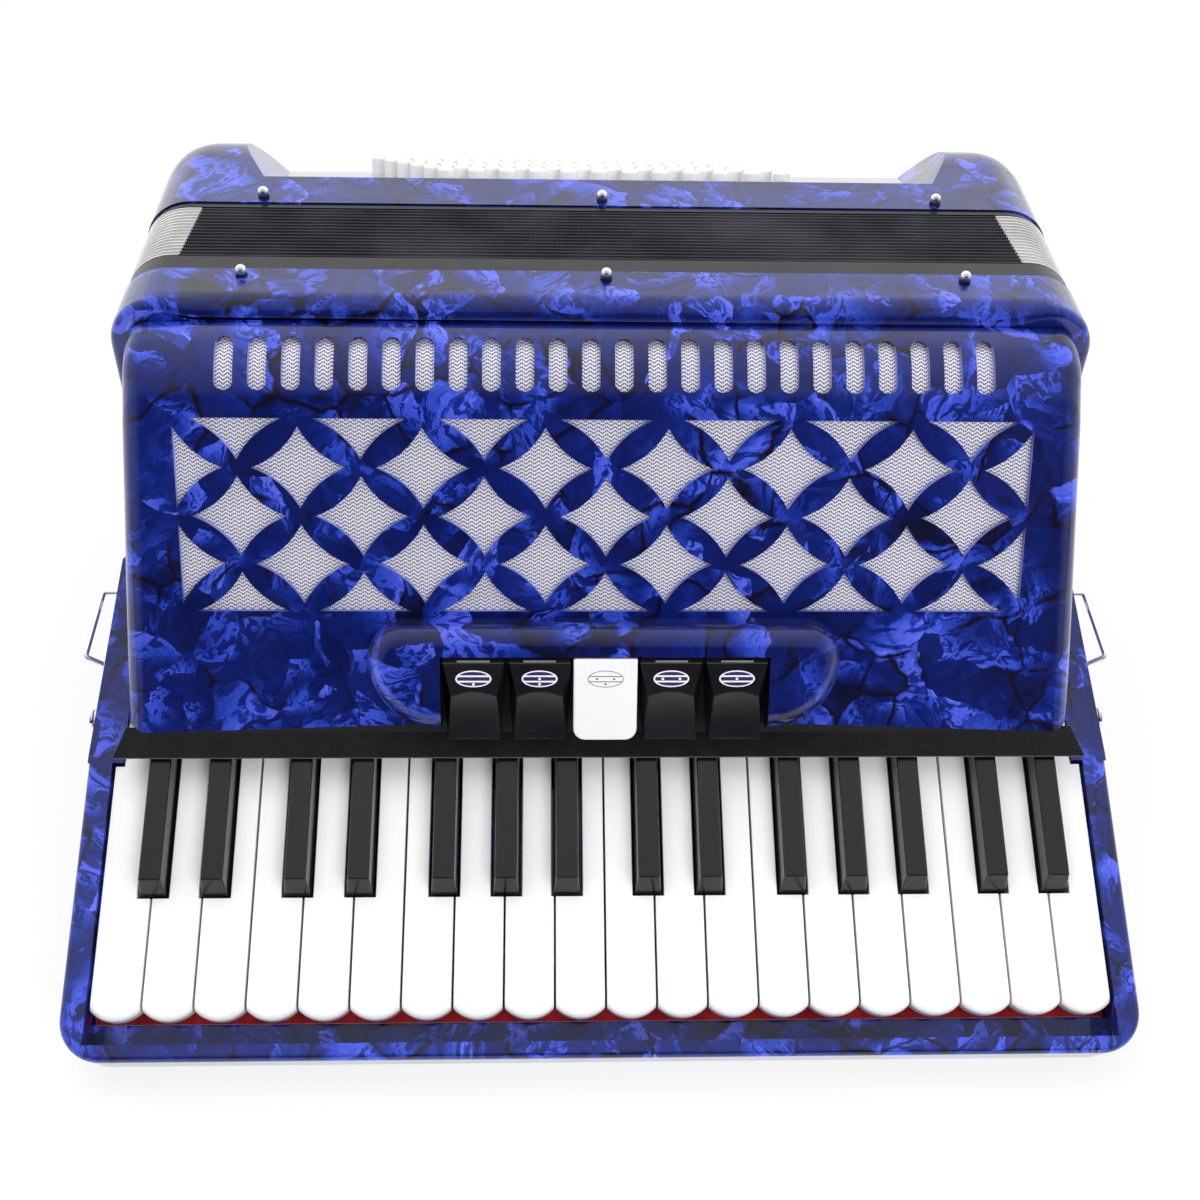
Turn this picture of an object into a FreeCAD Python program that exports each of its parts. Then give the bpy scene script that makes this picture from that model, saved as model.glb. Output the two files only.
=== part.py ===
# Piano accordion, 34 keys and 72 bass buttons, lying on its back with the bellows closed.
# Lengths in millimetres. X runs along the keyboard, Y from the keyboard to the bass side,
# Z from the back plane to the audience side. The model is laid out from the line where
# the white keys come out from under the felt strip, and is then set about its own middle.

import FreeCAD, Part
import Sketcher
import math
import os
import re

Vector = FreeCAD.Vector
X_AXIS = Vector(1, 0, 0)
Y_AXIS = Vector(0, 1, 0)
Z_AXIS = Vector(0, 0, 1)
ORIGIN = Vector(0, 0, 0)

SIZES = [
    # keyboard
    ("whitePitch", 18.8, "one white key to the next"),
    ("whiteCount", 20, "white keys"),
    ("keyGap", 0.8, "gap between neighbouring keys"),
    ("whiteFront", 94.6, "visible length at a white key's corner"),
    ("frontBulge", 3.7, "how far the rounded front reaches past its corners"),
    ("whiteThick", 6.0, "thickness of a white key"),
    ("lipRound", 2.6, "rounding of a white key's front edge"),
    ("keyTail", 22.0, "key body hidden behind the felt strip"),
    ("endNotch", 3.4, "how much narrower the hidden ends of the outer keys are"),
    ("endNotchStart", 3.2, "where that narrowing starts, in front of the strip line"),
    ("blackLength", 53.0, "visible length of a black key at its foot"),
    ("blackWidth", 10.0, "width of a black key at its foot"),
    ("blackCrown", 8.0, "width of a black key on top"),
    ("blackRise", 8.5, "height of a black key over the white ones"),
    ("blackRake", 4.5, "how far the front of a black key slopes back"),
    ("blackClear", 0.9, "gap between a black key and the white keys beside it"),
    ("blackRound", 0.9, "rounding of a black key's upper edges"),
    ("whiteRound", 0.4, "rounding of a white key's long edges"),
    ("blackHidden", 4.0, "raised part of a black key behind the strip line"),
    ("keySlope", 25.3, "keyboard angle to the back plane, degrees"),
    ("keyHeight", 64.0, "strip line above the back plane"),
    ("axleInset", 14.0, "key axle behind the strip line"),
    ("axleDrop", 9.0, "key axle below the key tops"),
    ("axleRadius", 1.5, "key axle"),
    ("axlePlay", 0.06, "radial clearance of a key on its axle"),
    ("hubHalf", 6.5, "half length of a key's hub"),
    ("hubDrop", 12.5, "underside of a key's hub below the key tops"),
    ("leverWidth", 4.6, "key lever"),
    ("leverTop", 4.0, "lever's upper side below the key tops"),
    ("leverThick", 5.0, "lever's depth"),
    ("palletNear", 60.0, "pallet's near end behind the strip line"),
    ("palletLength", 17.0, "pallet"),
    ("palletThick", 4.5, "pallet and its leather"),
    ("palletSeat", 0.3, "pallet's leather above the soundboard"),
    # keyboard bed
    ("cheekGap", 0.6, "outer key to the cheek"),
    ("cheekWidth", 9.4, "cheek beside the keys"),
    ("frontRoom", 8.2, "key front to the front rail"),
    ("railWidth", 6.0, "front rail"),
    ("railTop", 1.5, "rail above the key tops"),
    ("floorDrop", 13.5, "bed floor below the key tops"),
    ("floorThick", 4.0, "bed floor"),
    ("bedCorner", 16.0, "outer corner of the bed, seen from above"),
    ("bedRound", 2.5, "rounding of the bed's upper edges"),
    ("bedBack", 2.0, "bed stops short of the strip line"),
    ("redFeltThick", 2.4, "red felt under the key fronts"),
    ("redFeltWidth", 20.0, "red felt, along the keys"),
    ("stripLow", 10.3, "underside of the black felt strip above the key tops"),
    ("stripThick", 1.7, "black felt strip"),
    ("stripReach", 3.1, "strip in front of the strip line"),
    ("stripDepth", 12.2, "strip from front to back"),
    ("stripSlant", 4.0, "how much longer the strip's front edge is at each end"),
    # grille cover
    ("faceY", 0.9, "foot of the grille cover behind the strip line"),
    ("faceZ", 13.7, "foot of the grille cover above the strip line"),
    ("faceSlope", 62.7, "grille face angle to the back plane, degrees"),
    ("coverStep", 9.0, "top of the cover below the frame"),
    ("coverRound", 16.0, "rounding from the face into the top"),
    ("coverGap", 0.6, "back edge of the cover to the frame"),
    ("coverWall", 3.0, "cover wall"),
    ("coverInset", 6.0, "foot of the cover inside the keyboard's width"),
    ("coverNarrowing", 7.4, "how much narrower the cover is at its top, each side"),
    ("coverTaperRise", 148.0, "height along the face over which it narrows"),
    ("coverLift", 1.8, "cover's side edges above the key tops"),
    ("coverEdge", 8.0, "rounding of the cover's side edges"),
    ("starColumns", 7, "openings of the lattice along the keys"),
    ("starRows", 5, "rows of openings up the face, each half an opening above the last"),
    ("panelInset", 17.8, "lattice inside the cover's upper width"),
    ("starRise", 36.1, "one opening to the next, up the face"),
    ("starGap", 10.4, "between openings, along the keys"),
    ("starGapTall", 5.9, "between openings, up the face"),
    ("starDip", 2.2, "how far an opening's sides curve in"),
    ("panelFoot", 48.4, "foot of the lattice along the face"),
    ("slotCount", 24, "slots over the lattice"),
    ("slotInset", 30.8, "slots inside the cover's upper width"),
    ("slotWidth", 6.7, "slot"),
    ("slotFoot", 131.0, "slots start, along the face"),
    ("slotEndGap", 7.5, "slots end before the frame"),
    ("clothGap", 0.05, "grille cloth behind the cover"),
    ("clothThick", 0.8, "grille cloth"),
    ("clothMargin", 5.2, "grille cloth beside the lattice"),
    ("clothFoot", 42.0, "foot of the grille cloth along the face"),
    # register switches
    ("switchCount", 5, "register switches"),
    ("switchPitch", 24.6, "one switch to the next"),
    ("switchGap", 0.7, "gap between switches"),
    ("switchTop", 33.0, "upper end of a switch along the face"),
    ("switchWaist", 18.5, "where its top is narrowest"),
    ("switchFoot", 0.8, "lower end of a switch along the face"),
    ("switchLow", 4.4, "underside of a switch over the face"),
    ("switchThick", 6.2, "thickness of a switch"),
    ("switchNarrow", 20.6, "width of a switch at its lower end"),
    ("switchRidge", 16.8, "width of its top at the waist"),
    ("switchBevel", 0.8, "slope of a switch's outer edges"),
    ("switchAxis", 31.0, "switch axis along the face"),
    ("switchAxisRise", 6.5, "switch axis over the face"),
    ("tipRound", 4.5, "lower corners of the plain switch"),
    ("humpShoulder", 27.35, "housing beside the switches"),
    ("humpFoot", 3.7, "foot of the housing along the face"),
    ("humpTop", 44.6, "top of the housing along the face"),
    ("humpRise", 10.5, "how far the housing stands out"),
    ("humpLowCorner", 26.0, "lower outer corners of the housing"),
    ("humpHighCorner", 13.0, "upper outer corners of the housing"),
    ("humpDome", 8.0, "rounding of the housing"),
    ("humpRoom", 0.5, "housing to the switches"),
    ("switchRod", 1.0, "radius of the rod the switches turn on"),
    # treble case
    ("caseFront", 10.0, "lower front wall behind the strip line"),
    ("frameNear", 85.0, "near side of the treble frame"),
    ("frameDepth", 23.4, "treble frame"),
    ("frameTop", 151.0, "top of the frames above the strip line"),
    ("frameInset", 5.5, "frames inside the keyboard's width"),
    ("frameCorner", 20.0, "corners of the frames"),
    ("frameWall", 6.0, "frame wall"),
    ("frameRound", 3.5, "rounding of the frames' edges"),
    ("caseWall", 4.0, "case wall"),
    ("bulkhead", 3.0, "wall between the cover and the bellows"),
    ("bulkheadFoot", 26.0, "its lower edge above the strip line"),
    ("shoulderRun", 10.5, "where the case sides turn in, before the frame"),
    ("shoulderDraw", 4.5, "case sides inside the bed's width there"),
    ("shoulderStep", 1.5, "case sides outside the frame where they meet it"),
    ("sideClear", 0.3, "outer keys' hidden ends to the case sides"),
    ("caseClosing", 6.0, "thickness of the case sides where they meet the frame"),
    ("boardDrop", 17.0, "soundboard's underside below the key tops"),
    ("boardThick", 3.0, "soundboard"),
    ("boardNear", 32.0, "soundboard's near edge behind the strip line"),
    ("boardFar", 79.2, "soundboard's far edge"),
    ("reedMargin", 34.5, "reed blocks short of the case sides"),
    ("reedWidth", 13.0, "reed block"),
    ("reedDepth", 32.0, "reed block below the soundboard"),
    ("reedSpacing", 21.0, "one reed block to the next"),
    ("reedInset", 8.0, "first reed block from the soundboard's edge"),
    # fittings
    ("pinInset", 48.0, "outer bellows pins inside the frames' width"),
    ("pinBall", 2.15, "radius of a pin's ball"),
    ("pinNeck", 0.9, "radius of a pin's neck"),
    ("pinCollar", 2.2, "radius of a pin's collar"),
    ("pinCollarThick", 0.9, "collar"),
    ("pinRise", 2.2, "ball's middle above the frame"),
    ("pinFromFar", 4.9, "treble pins before the frame's far side"),
    ("pinFromNear", 4.4, "bass pins behind the case's near side"),
    ("wireRadius", 1.1, "strap bracket wire"),
    ("bracketReach", 5.5, "strap bracket's outer bar outside the bed's width"),
    ("bracketFarY", 71.0, "strap bracket's far leg"),
    ("bracketFarZ", 21.5, "its height"),
    ("bracketNearY", 36.0, "strap bracket's near leg"),
    ("bracketNearZ", 19.5, "height of its outer end"),
    ("bracketRootZ", 13.5, "height where it enters the case"),
    ("rosetteRadius", 3.2, "rosette round each bracket leg"),
    ("rosetteThick", 0.8, "rosette"),
    ("studY", 19.5, "strap stud behind the strip line"),
    ("studZ", 1.5, "strap stud's height"),
    ("studRadius", 4.0, "strap stud"),
    ("studThick", 3.6, "strap stud"),
    ("washerRadius", 5.3, "washer under the stud"),
    ("washerThick", 1.0, "washer"),
    ("screwY", 55.0, "cover screw behind the strip line"),
    ("screwZ", 79.0, "cover screw's height"),
    ("screwRadius", 3.0, "cover screw's head"),
    ("screwThick", 3.0, "cover screw's head"),
    # bellows
    ("foldCount", 16, "folds of the bellows"),
    ("nearFrame", 9.5, "thickness of the treble bellows frame"),
    ("foldRun", 37.5, "folds, closed, from first to last"),
    ("foldDepth", 11.0, "depth of a fold"),
    ("foldWall", 5.0, "cardboard and cloth, measured square to the bellows axis"),
    ("foldInset", 0.6, "folds inside the frames' outline"),
    ("bellowsFrame", 9.0, "width of a bellows frame"),
    ("bellowsGap", 0.3, "bellows to the cases"),
    ("backGap", 0.6, "bellows above the back plane"),
    # bass side
    ("farFrame", 2.9, "thickness of the bass bellows frame"),
    ("bassDepth", 88.4, "bass case"),
    ("bassRound", 50.0, "rounding from the front into the outer face"),
    ("bassHeel", 28.0, "rounding from the outer face into the back"),
    ("bassPlan", 30.0, "rounding of the case ends, seen from above"),
    ("bassCornerGain", 17.0, "how much rounder the case's corners are at its outer face"),
    ("bassSteps", 7, "sections of the rounded part of the case"),
    ("bassWall", 4.0, "bass case wall"),
    ("bandDepth", 19.7, "band of the case before the button plate"),
    ("plateStep", 4.3, "button plate's near edge below the case's top"),
    ("plateSlope", 21.0, "button plate's slope, degrees"),
    ("hornWidth", 52.3, "case beside the button plate"),
    ("plateDepth", 61.0, "button plate from front to back"),
    ("plateThick", 2.0, "button plate"),
    ("plateGap", 0.3, "button plate to the recess"),
    ("recessFlare", 0.95, "slope of the recess ends"),
    ("recessSplay", 0.09, "how much wider the recess gets towards the outer face, each side"),
    ("recessLedge", 2.2, "ledge that carries the button plate"),
    ("buttonCount", 12, "buttons in a row"),
    ("rowCount", 6, "rows of buttons"),
    ("buttonPitch", 12.6, "one button to the next"),
    ("rowPitch", 8.9, "one row to the next"),
    ("buttonRadius", 3.6, "button"),
    ("buttonRise", 9.2, "button above the plate"),
    ("buttonStem", 12.0, "button below the plate's top"),
    ("buttonPlay", 0.35, "button to its hole"),
    ("buttonRound", 1.6, "rounding of a button's top"),
    ("buttonInset", 66.7, "first button of the front row from the plate's end"),
    ("firstRow", 6.6, "front row from the plate's near edge"),
    ("bassReedMargin", 72.5, "bass reed blocks inside the case's width"),
    ("bassReedWidth", 14.0, "bass reed block"),
    ("bassReedRise", 60.0, "bass reed block"),
    ("bassReedStart", 6.0, "first bass reed block behind the case's near side"),
    ("bassReedSpacing", 18.0, "one bass reed block to the next"),
    ("airInset", 40.5, "air button inside the case's width"),
    ("airZ", 72.0, "air button's height"),
    ("airRadius", 6.5, "air button"),
    ("airRise", 6.0, "air button above the outer face"),
    ("airStem", 16.0, "air button inside the case"),
    ("strapInset", 50.5, "hand strap's ends inside the case's width"),
    ("strapWidth", 52.0, "hand strap"),
    ("strapThick", 2.5, "hand strap"),
    ("strapBow", 24.0, "room for the hand under the strap"),
    ("strapZ", 12.0, "middle of the strap above the strip line"),
    ("strapPlate", 18.0, "plate that holds each strap end"),
    ("strapPlateThick", 3.5, "plate"),
    ("overrun", 5.0, "how far a cut reaches past what it cuts"),
    ("closeTo", 0.01, "two places nearer than this are one place"),
]

# Worked out from the sizes above
WORKED = {
    "whiteHalf": "whitePitch * whiteCount / 2",
    "bedHalf": "whiteHalf + cheekGap + cheekWidth",
    "keyReach": "whiteFront + frontBulge",
    "bedReach": "keyReach + frontRoom + railWidth",
    "boxNear": "(bedReach - bedRound) * cos(keySlope) + (railTop - bedRound) * sin(keySlope) + bedRound",
    "boxFar": "bassFar + strapBow + strapThick",
    "lineY": "(boxNear - boxFar) / 2",
    "plateLineY": "lineY + plateY",
    "innerHalf": "whiteHalf - keyGap / 2 - endNotch + sideClear",
    "coverHalfLow": "whiteHalf - coverInset",
    "coverHalfHigh": "coverHalfLow - coverNarrowing",
    "frameHalf": "whiteHalf - frameInset",
    "shoulderHalf": "bedHalf - shoulderDraw",
    "shoulderEnd": "frameHalf + shoulderStep",
    "bracketOut": "bedHalf + bracketReach",
    "pinX": "frameHalf - pinInset",
    "plateHalf": "frameHalf - hornWidth",
    "strapHalf": "frameHalf - strapInset",
    "airX": "airInset - frameHalf",
    "starPitch": "(coverHalfHigh - panelInset) * 2 / starColumns",
    "starHalf": "(starPitch - starGap) / 2",
    "starTall": "(starRise - starGapTall) / 2",
    "clothHalf": "coverHalfHigh - panelInset + clothMargin",
    "slotPitch": "(coverHalfHigh - slotInset) * 2 / slotCount",
    "humpHalf": "recessHalf + humpShoulder",
    "reedHalf": "innerHalf - reedMargin",
    "bassReedHalf": "frameHalf - bassReedMargin",
    "firstButton": "buttonInset - plateHalf",
    "coverTop": "frameTop - coverStep",
    "coverBack": "frameNear - coverGap",
    "slotEnd": "frameNear - slotEndGap",
    "frameFar": "frameNear + frameDepth",
    "shoulderY": "frameNear - shoulderRun",
    "caseTurn": "frameNear - caseClosing",
    "pinNear": "frameFar - pinFromFar",
    "bellowsNear": "frameFar + nearFrame",
    "bellowsFar": "bellowsNear + foldRun",
    "bassNear": "bellowsFar + farFrame + bellowsGap",
    "bassFar": "bassNear + bassDepth",
    "pinFar": "bassNear + pinFromNear",
    "plateY": "bassNear + bandDepth",
    "plateZ": "frameTop - plateStep",
    "bassReedNear": "bassNear + bassReedStart",
    "faceLineY": "lineY + faceY",
    "faceLineZ": "keyHeight + faceZ",
    "plateLineZ": "keyHeight + plateZ",
    "panelTop": "panelFoot + starRise * 2",
    "recessHalf": "switchPitch * switchCount / 2 - switchGap / 2 + humpRoom",
    "palletLow": "boardDrop - boardThick - palletSeat",
}

# Black keys sit off the joint between two white keys by these shares of the white pitch
OFFSET_SHARES = {"C": -0.125, "D": 0.115, "F": -0.21, "G": 0.03, "A": 0.245}
FIRST_NOTE = "G"
NOTES = "CDEFGAB"

doc = FreeCAD.newDocument("Accordion")
sheet = doc.addObject("Spreadsheet::Sheet", "Sizes")
for row, (alias, number, note) in enumerate(SIZES, 1):
    sheet.set(f"A{row}", note)
    sheet.set(f"B{row}", str(number))
    sheet.setAlias(f"B{row}", alias)
doc.recompute()
ALIASES = {alias for alias, number, note in SIZES}


# Expressions

def spelled(text):
    """Replace worked-out sizes by their sums until only named sizes are left."""
    def spell(match):
        word = match.group(0)
        if word in WORKED:
            return "(" + spelled(WORKED[word]) + ")"
        return "Sizes." + word if word in ALIASES else word
    return re.sub(r"[A-Za-z]+", spell, str(text))


def full(text):
    """The sheet's own form of a sum of named sizes, with angles in degrees."""
    return re.sub(r"(sin|cos|tan)\(", r"\1(1 deg * ", spelled(text))


def value(text):
    return float(sheet.evalExpression(full(text)))


def bind(thing, **properties):
    for name, text in properties.items():
        thing.setExpression(name.replace("_", "."), full(text))


# Frames: the strip line, the sloping key plane, the grille face and the button plate
FRAMES = {
    "line": ("lineY", "keyHeight", "0"),
    "keys": ("lineY", "keyHeight", "keySlope"),
    "face": ("faceLineY", "faceLineZ", "faceSlope"),
    "plate": ("plateLineY", "plateLineZ", "-plateSlope"),
}


def stand(thing, frame):
    """Bind an object's placement to one of the frames."""
    y, z, slope = FRAMES[frame]
    bind(thing, Placement_Base_y=y, Placement_Base_z=z, Placement_Rotation_Angle=slope,
         Placement_Rotation_Axis_x="1", Placement_Rotation_Axis_z="0")


def lean(frame):
    """Placement that takes a shape from a frame to the strip line's frame."""
    y, z, slope = FRAMES[frame]
    base = Vector(0, value(y) - value("lineY"), value(z) - value("keyHeight"))
    return FreeCAD.Placement(base, FreeCAD.Rotation(X_AXIS, value(slope)))


# Sketches and bodies

def originPlane(body, role):
    return next(one for one in body.Origin.OriginFeatures if one.Role == role)


def newSketch(body, role, lift=None):
    sketch = body.newObject("Sketcher::SketchObject", "Outline")
    sketch.AttachmentSupport = [(originPlane(body, role), "")]
    sketch.MapMode = "FlatFace"
    if lift is not None:
        sketch.setExpression("AttachmentOffset.Base.z", full(lift))
    return sketch


def arcEdge(start, end, radius):
    half = (end - start).Length / 2
    rise = radius - math.sqrt(radius * radius - half * half)
    along = end - start
    outward = Vector(along.y, -along.x, 0).normalize()
    return Part.Arc(start, (start + end) * 0.5 + outward * rise, end)


def atStart(edge, point):
    return (edge.StartPoint - point).Length < (edge.EndPoint - point).Length


def outline(body, role, corners, curves=None, lift=None):
    """Closed outline through corners given as named sums; curves maps an edge to its radius."""
    curves = curves or {}
    sketch = newSketch(body, role, lift)
    points = [Vector(value(x), value(y), 0) for x, y in corners]
    count = len(points)
    for n, point in enumerate(points):
        after = points[(n + 1) % count]
        if n in curves:
            sketch.addGeometry(arcEdge(point, after, value(curves[n])))
        else:
            sketch.addGeometry(Part.LineSegment(point, after))
    edges = sketch.Geometry
    for n, point in enumerate(points):
        before = (n - 1) % count
        ends = [1 if atStart(edges[k], point) else 2 for k in (before, n)]
        sketch.addConstraint(Sketcher.Constraint("Coincident", before, ends[0], n, ends[1]))
        for kind, text in zip(("DistanceX", "DistanceY"), corners[n]):
            mark = Sketcher.Constraint(kind, -1, 1, n, ends[1], value(text))
            tie(sketch, mark, text)
    for n, radius in curves.items():
        tie(sketch, Sketcher.Constraint("Radius", n, value(radius)), radius)
    return sketch


def circles(body, role, centres, radius, lift=None):
    sketch = newSketch(body, role, lift)
    for n, (x, y) in enumerate(centres):
        middle = Vector(value(x), value(y), 0)
        sketch.addGeometry(Part.Circle(middle, Z_AXIS, value(radius)))
        tie(sketch, Sketcher.Constraint("DistanceX", -1, 1, n, 3, middle.x), x)
        tie(sketch, Sketcher.Constraint("DistanceY", -1, 1, n, 3, middle.y), y)
        tie(sketch, Sketcher.Constraint("Radius", n, value(radius)), radius)
    return sketch


def tie(sketch, mark, text):
    number = sketch.addConstraint(mark)
    sketch.setExpression(f"Constraints[{number}]", full(text))


def newBody(label, frame):
    body = doc.addObject("PartDesign::Body", label)
    body.Label = label
    stand(body, frame)
    pieces.append(body)
    return body


def pad(body, sketch, length, down=False, middle=False):
    made = body.newObject("PartDesign::Pad", "Pad")
    made.Profile = sketch
    made.Reversed = down
    made.Midplane = middle
    bind(made, Length=length)
    return made


def pocket(body, sketch, length, up=False, middle=False):
    made = body.newObject("PartDesign::Pocket", "Pocket")
    made.Profile = sketch
    made.Reversed = up
    made.Midplane = middle
    bind(made, Length=length)
    return made


def loft(body, low, high):
    made = body.newObject("PartDesign::AdditiveLoft", "Loft")
    made.Profile = low
    made.Sections = [high]
    made.Ruled = True
    return made


def roundOff(body, base, radius, wanted):
    """Fillet the edges of a feature that the wanted test picks."""
    doc.recompute()
    names = [f"Edge{n}" for n, edge in enumerate(base.Shape.Edges, 1) if wanted(edge)]
    made = body.newObject("PartDesign::Fillet", "Fillet")
    made.Base = (base, names)
    bind(made, Radius=radius)
    return made


# Shapes made in code, in the strip line's frame

pieces = []


def newFeature(label, shape):
    feature = doc.addObject("Part::Feature", label)
    feature.Label = label
    feature.Shape = shape
    line = FreeCAD.Placement(Vector(0, value("lineY"), value("keyHeight")), FreeCAD.Rotation())
    feature.Placement = line.multiply(shape.Placement)
    pieces.append(feature)
    return feature


def rod(radius, start, end):
    along = end - start
    return Part.makeCylinder(radius, along.Length, start, along)


def plate(points, direction):
    """Prism over a closed run of points."""
    return Part.Face(Part.makePolygon(points + points[:1])).extrude(direction)


def fused(shapes):
    return shapes[0].multiFuse(shapes[1:]).removeSplitter() if len(shapes) > 1 else shapes[0]


def keyPoint(y, rise):
    """Point of the key plane's frame as seen from the strip line."""
    slope = math.radians(value("keySlope"))
    return (y * math.cos(slope) - rise * math.sin(slope), y * math.sin(slope) + rise * math.cos(slope))


def roundedFrame(half, low, high, corner, y):
    """Rounded rectangle across the bellows axis, as a wire at one Y."""
    inner = half - corner
    diagonal = corner * (1 - math.sqrt(0.5))
    run = [(-inner, low), (inner, low), (half - diagonal, low + diagonal), (half, low + corner),
           (half, high - corner), (half - diagonal, high - diagonal), (inner, high), (-inner, high),
           (-half + diagonal, high - diagonal), (-half, high - corner), (-half, low + corner),
           (-half + diagonal, low + diagonal)]
    at = [Vector(x, y, z) for x, z in run]
    edges = [Part.LineSegment(at[0], at[1]), Part.Arc(at[1], at[2], at[3]),
             Part.LineSegment(at[3], at[4]), Part.Arc(at[4], at[5], at[6]),
             Part.LineSegment(at[6], at[7]), Part.Arc(at[7], at[8], at[9]),
             Part.LineSegment(at[9], at[10]), Part.Arc(at[10], at[11], at[0])]
    return Part.Wire([edge.toShape() for edge in edges])


def framePrism(inset, near, far, lift=0):
    """Prism over the frames' rounded outline, drawn in by inset."""
    low = -value("keyHeight") + inset + lift
    wire = roundedFrame(value("frameHalf") - inset, low, value("frameTop") - inset,
                        value("frameCorner") - inset / 2, near)
    return Part.Face(wire).extrude(Vector(0, far - near, 0))


# Keys

def blackPlaces():
    """For each joint between white keys that has a black key: joint number and share off it."""
    places = {}
    first = NOTES.index(FIRST_NOTE)
    for joint in range(1, int(value("whiteCount"))):
        note = NOTES[(first + joint - 1) % len(NOTES)]
        if note in OFFSET_SHARES:
            places[joint] = OFFSET_SHARES[note]
    return places


def blackMiddle(joint, share):
    return f"(whitePitch * ({joint} + {share}) - whiteHalf)"


def lever(body, middle):
    """Hub, lever arm and pallet under a key, with the bore for the axle."""
    corners = [("axleInset - hubHalf", "-whiteThick / 2"), ("axleInset - hubHalf", "-hubDrop"),
               ("axleInset + hubHalf", "-hubDrop"), ("axleInset + hubHalf", "-leverTop - leverThick"),
               ("palletNear", "-leverTop - leverThick"), ("palletNear", "-palletLow"),
               ("palletNear + palletLength", "-palletLow"),
               ("palletNear + palletLength", "-palletLow + palletThick"),
               ("palletNear + leverThick", "-leverTop"), ("axleInset + hubHalf", "-leverTop"),
               ("axleInset + hubHalf", "-whiteThick / 2")]
    side = outline(body, "YZ_Plane", corners, lift=middle)
    pad(body, side, "leverWidth", middle=True)
    bore = circles(body, "YZ_Plane", [("axleInset", "-axleDrop")], "axleRadius + axlePlay", lift=middle)
    return pocket(body, bore, "leverWidth + overrun", middle=True)




def whiteKey(number, blacks):
    """White key: rounded front, sides cut back for the black keys beside it."""
    body = newBody(f"white_key_{number:02d}", "keys")
    left = f"(whitePitch * {number - 1} - whiteHalf + keyGap / 2)"
    right = f"(whitePitch * {number} - whiteHalf - keyGap / 2)"
    count = int(value("whiteCount"))
    leftTail, leftStep, rightTail, rightStep = left, None, right, None
    if number - 1 in blacks:
        leftTail = f"({blackMiddle(number - 1, blacks[number - 1])} + blackWidth / 2 + blackClear)"
        leftStep = "-blackLength - blackClear"
    elif number == 1:
        leftTail, leftStep = f"({left} + endNotch)", "-endNotchStart"
    if number in blacks:
        rightTail = f"({blackMiddle(number, blacks[number])} - blackWidth / 2 - blackClear)"
        rightStep = "-blackLength - blackClear"
    elif number == count:
        rightTail, rightStep = f"({right} - endNotch)", "-endNotchStart"
    corners = [(left, "-whiteFront"), (right, "-whiteFront")]
    if rightStep:
        corners += [(right, rightStep), (rightTail, rightStep)]
    corners += [(rightTail, "keyTail"), (leftTail, "keyTail")]
    if leftStep:
        corners += [(leftTail, leftStep), (left, leftStep)]
    bulge = "(((whitePitch - keyGap) / 2)^2 + frontBulge^2) / (2 * frontBulge)"
    top = outline(body, "XY_Plane", corners, curves={0: bulge})
    slab = pad(body, top, "whiteThick", down=True)
    reach = -value("whiteFront") - value("frontBulge") / 2
    tiny = value("whiteRound")

    def frontEdge(edge):
        middle = edge.CenterOfMass
        return middle.y < reach and abs(middle.z) < tiny

    def longEdge(edge):
        box = edge.BoundBox
        return abs(box.ZMin) < tiny / 2 and abs(box.ZMax) < tiny / 2 and box.XLength < tiny < box.YLength

    lip = roundOff(body, slab, "lipRound", frontEdge)
    roundOff(body, lip, "whiteRound", longEdge)
    lever(body, f"({leftTail} + {rightTail}) / 2")
    return body


def blackKey(number, joint, share):
    """Black key: foot between the white keys and a crown that tapers in."""
    body = newBody(f"black_key_{number:02d}", "keys")
    middle = blackMiddle(joint, share)
    low, high = f"({middle} - blackWidth / 2)", f"({middle} + blackWidth / 2)"
    foot = outline(body, "XY_Plane", [(low, "-blackLength"), (high, "-blackLength"),
                                      (high, "keyTail"), (low, "keyTail")])
    pad(body, foot, "whiteThick", down=True)
    base = outline(body, "XY_Plane", [(low, "-blackLength"), (high, "-blackLength"),
                                      (high, "blackHidden"), (low, "blackHidden")])
    left, right = f"({middle} - blackCrown / 2)", f"({middle} + blackCrown / 2)"
    front = "-blackLength + blackRake"
    corners = [(left, front), (right, front), (right, "blackHidden"), (left, "blackHidden")]
    crown = outline(body, "XY_Plane", corners, lift="blackRise")
    raised = loft(body, base, crown)
    back = value("blackHidden")
    floor = value("blackRound")

    def crownEdge(edge):
        box = edge.BoundBox
        return box.ZMax > floor and box.YMin < back - floor

    roundOff(body, raised, "blackRound", crownEdge)
    lever(body, middle)
    return body


def keys():
    blacks = blackPlaces()
    for number in range(1, int(value("whiteCount")) + 1):
        whiteKey(number, blacks)
    for number, (joint, share) in enumerate(sorted(blacks.items()), 1):
        blackKey(number, joint, share)


def keyAxle():
    """One steel axle for all keys, between the case sides."""
    axle = doc.addObject("Part::Cylinder", "key_axle")
    axle.Label = "key_axle"
    y, rise = "axleInset", "-axleDrop"
    bind(axle, Radius="axleRadius", Height="innerHalf * 2", Placement_Base_x="-innerHalf",
         Placement_Base_y=f"lineY + {y} * cos(keySlope) - ({rise}) * sin(keySlope)",
         Placement_Base_z=f"keyHeight + {y} * sin(keySlope) + ({rise}) * cos(keySlope)",
         Placement_Rotation_Angle="90", Placement_Rotation_Axis_y="1", Placement_Rotation_Axis_z="0")
    pieces.append(axle)


# Keyboard bed and felts

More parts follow.
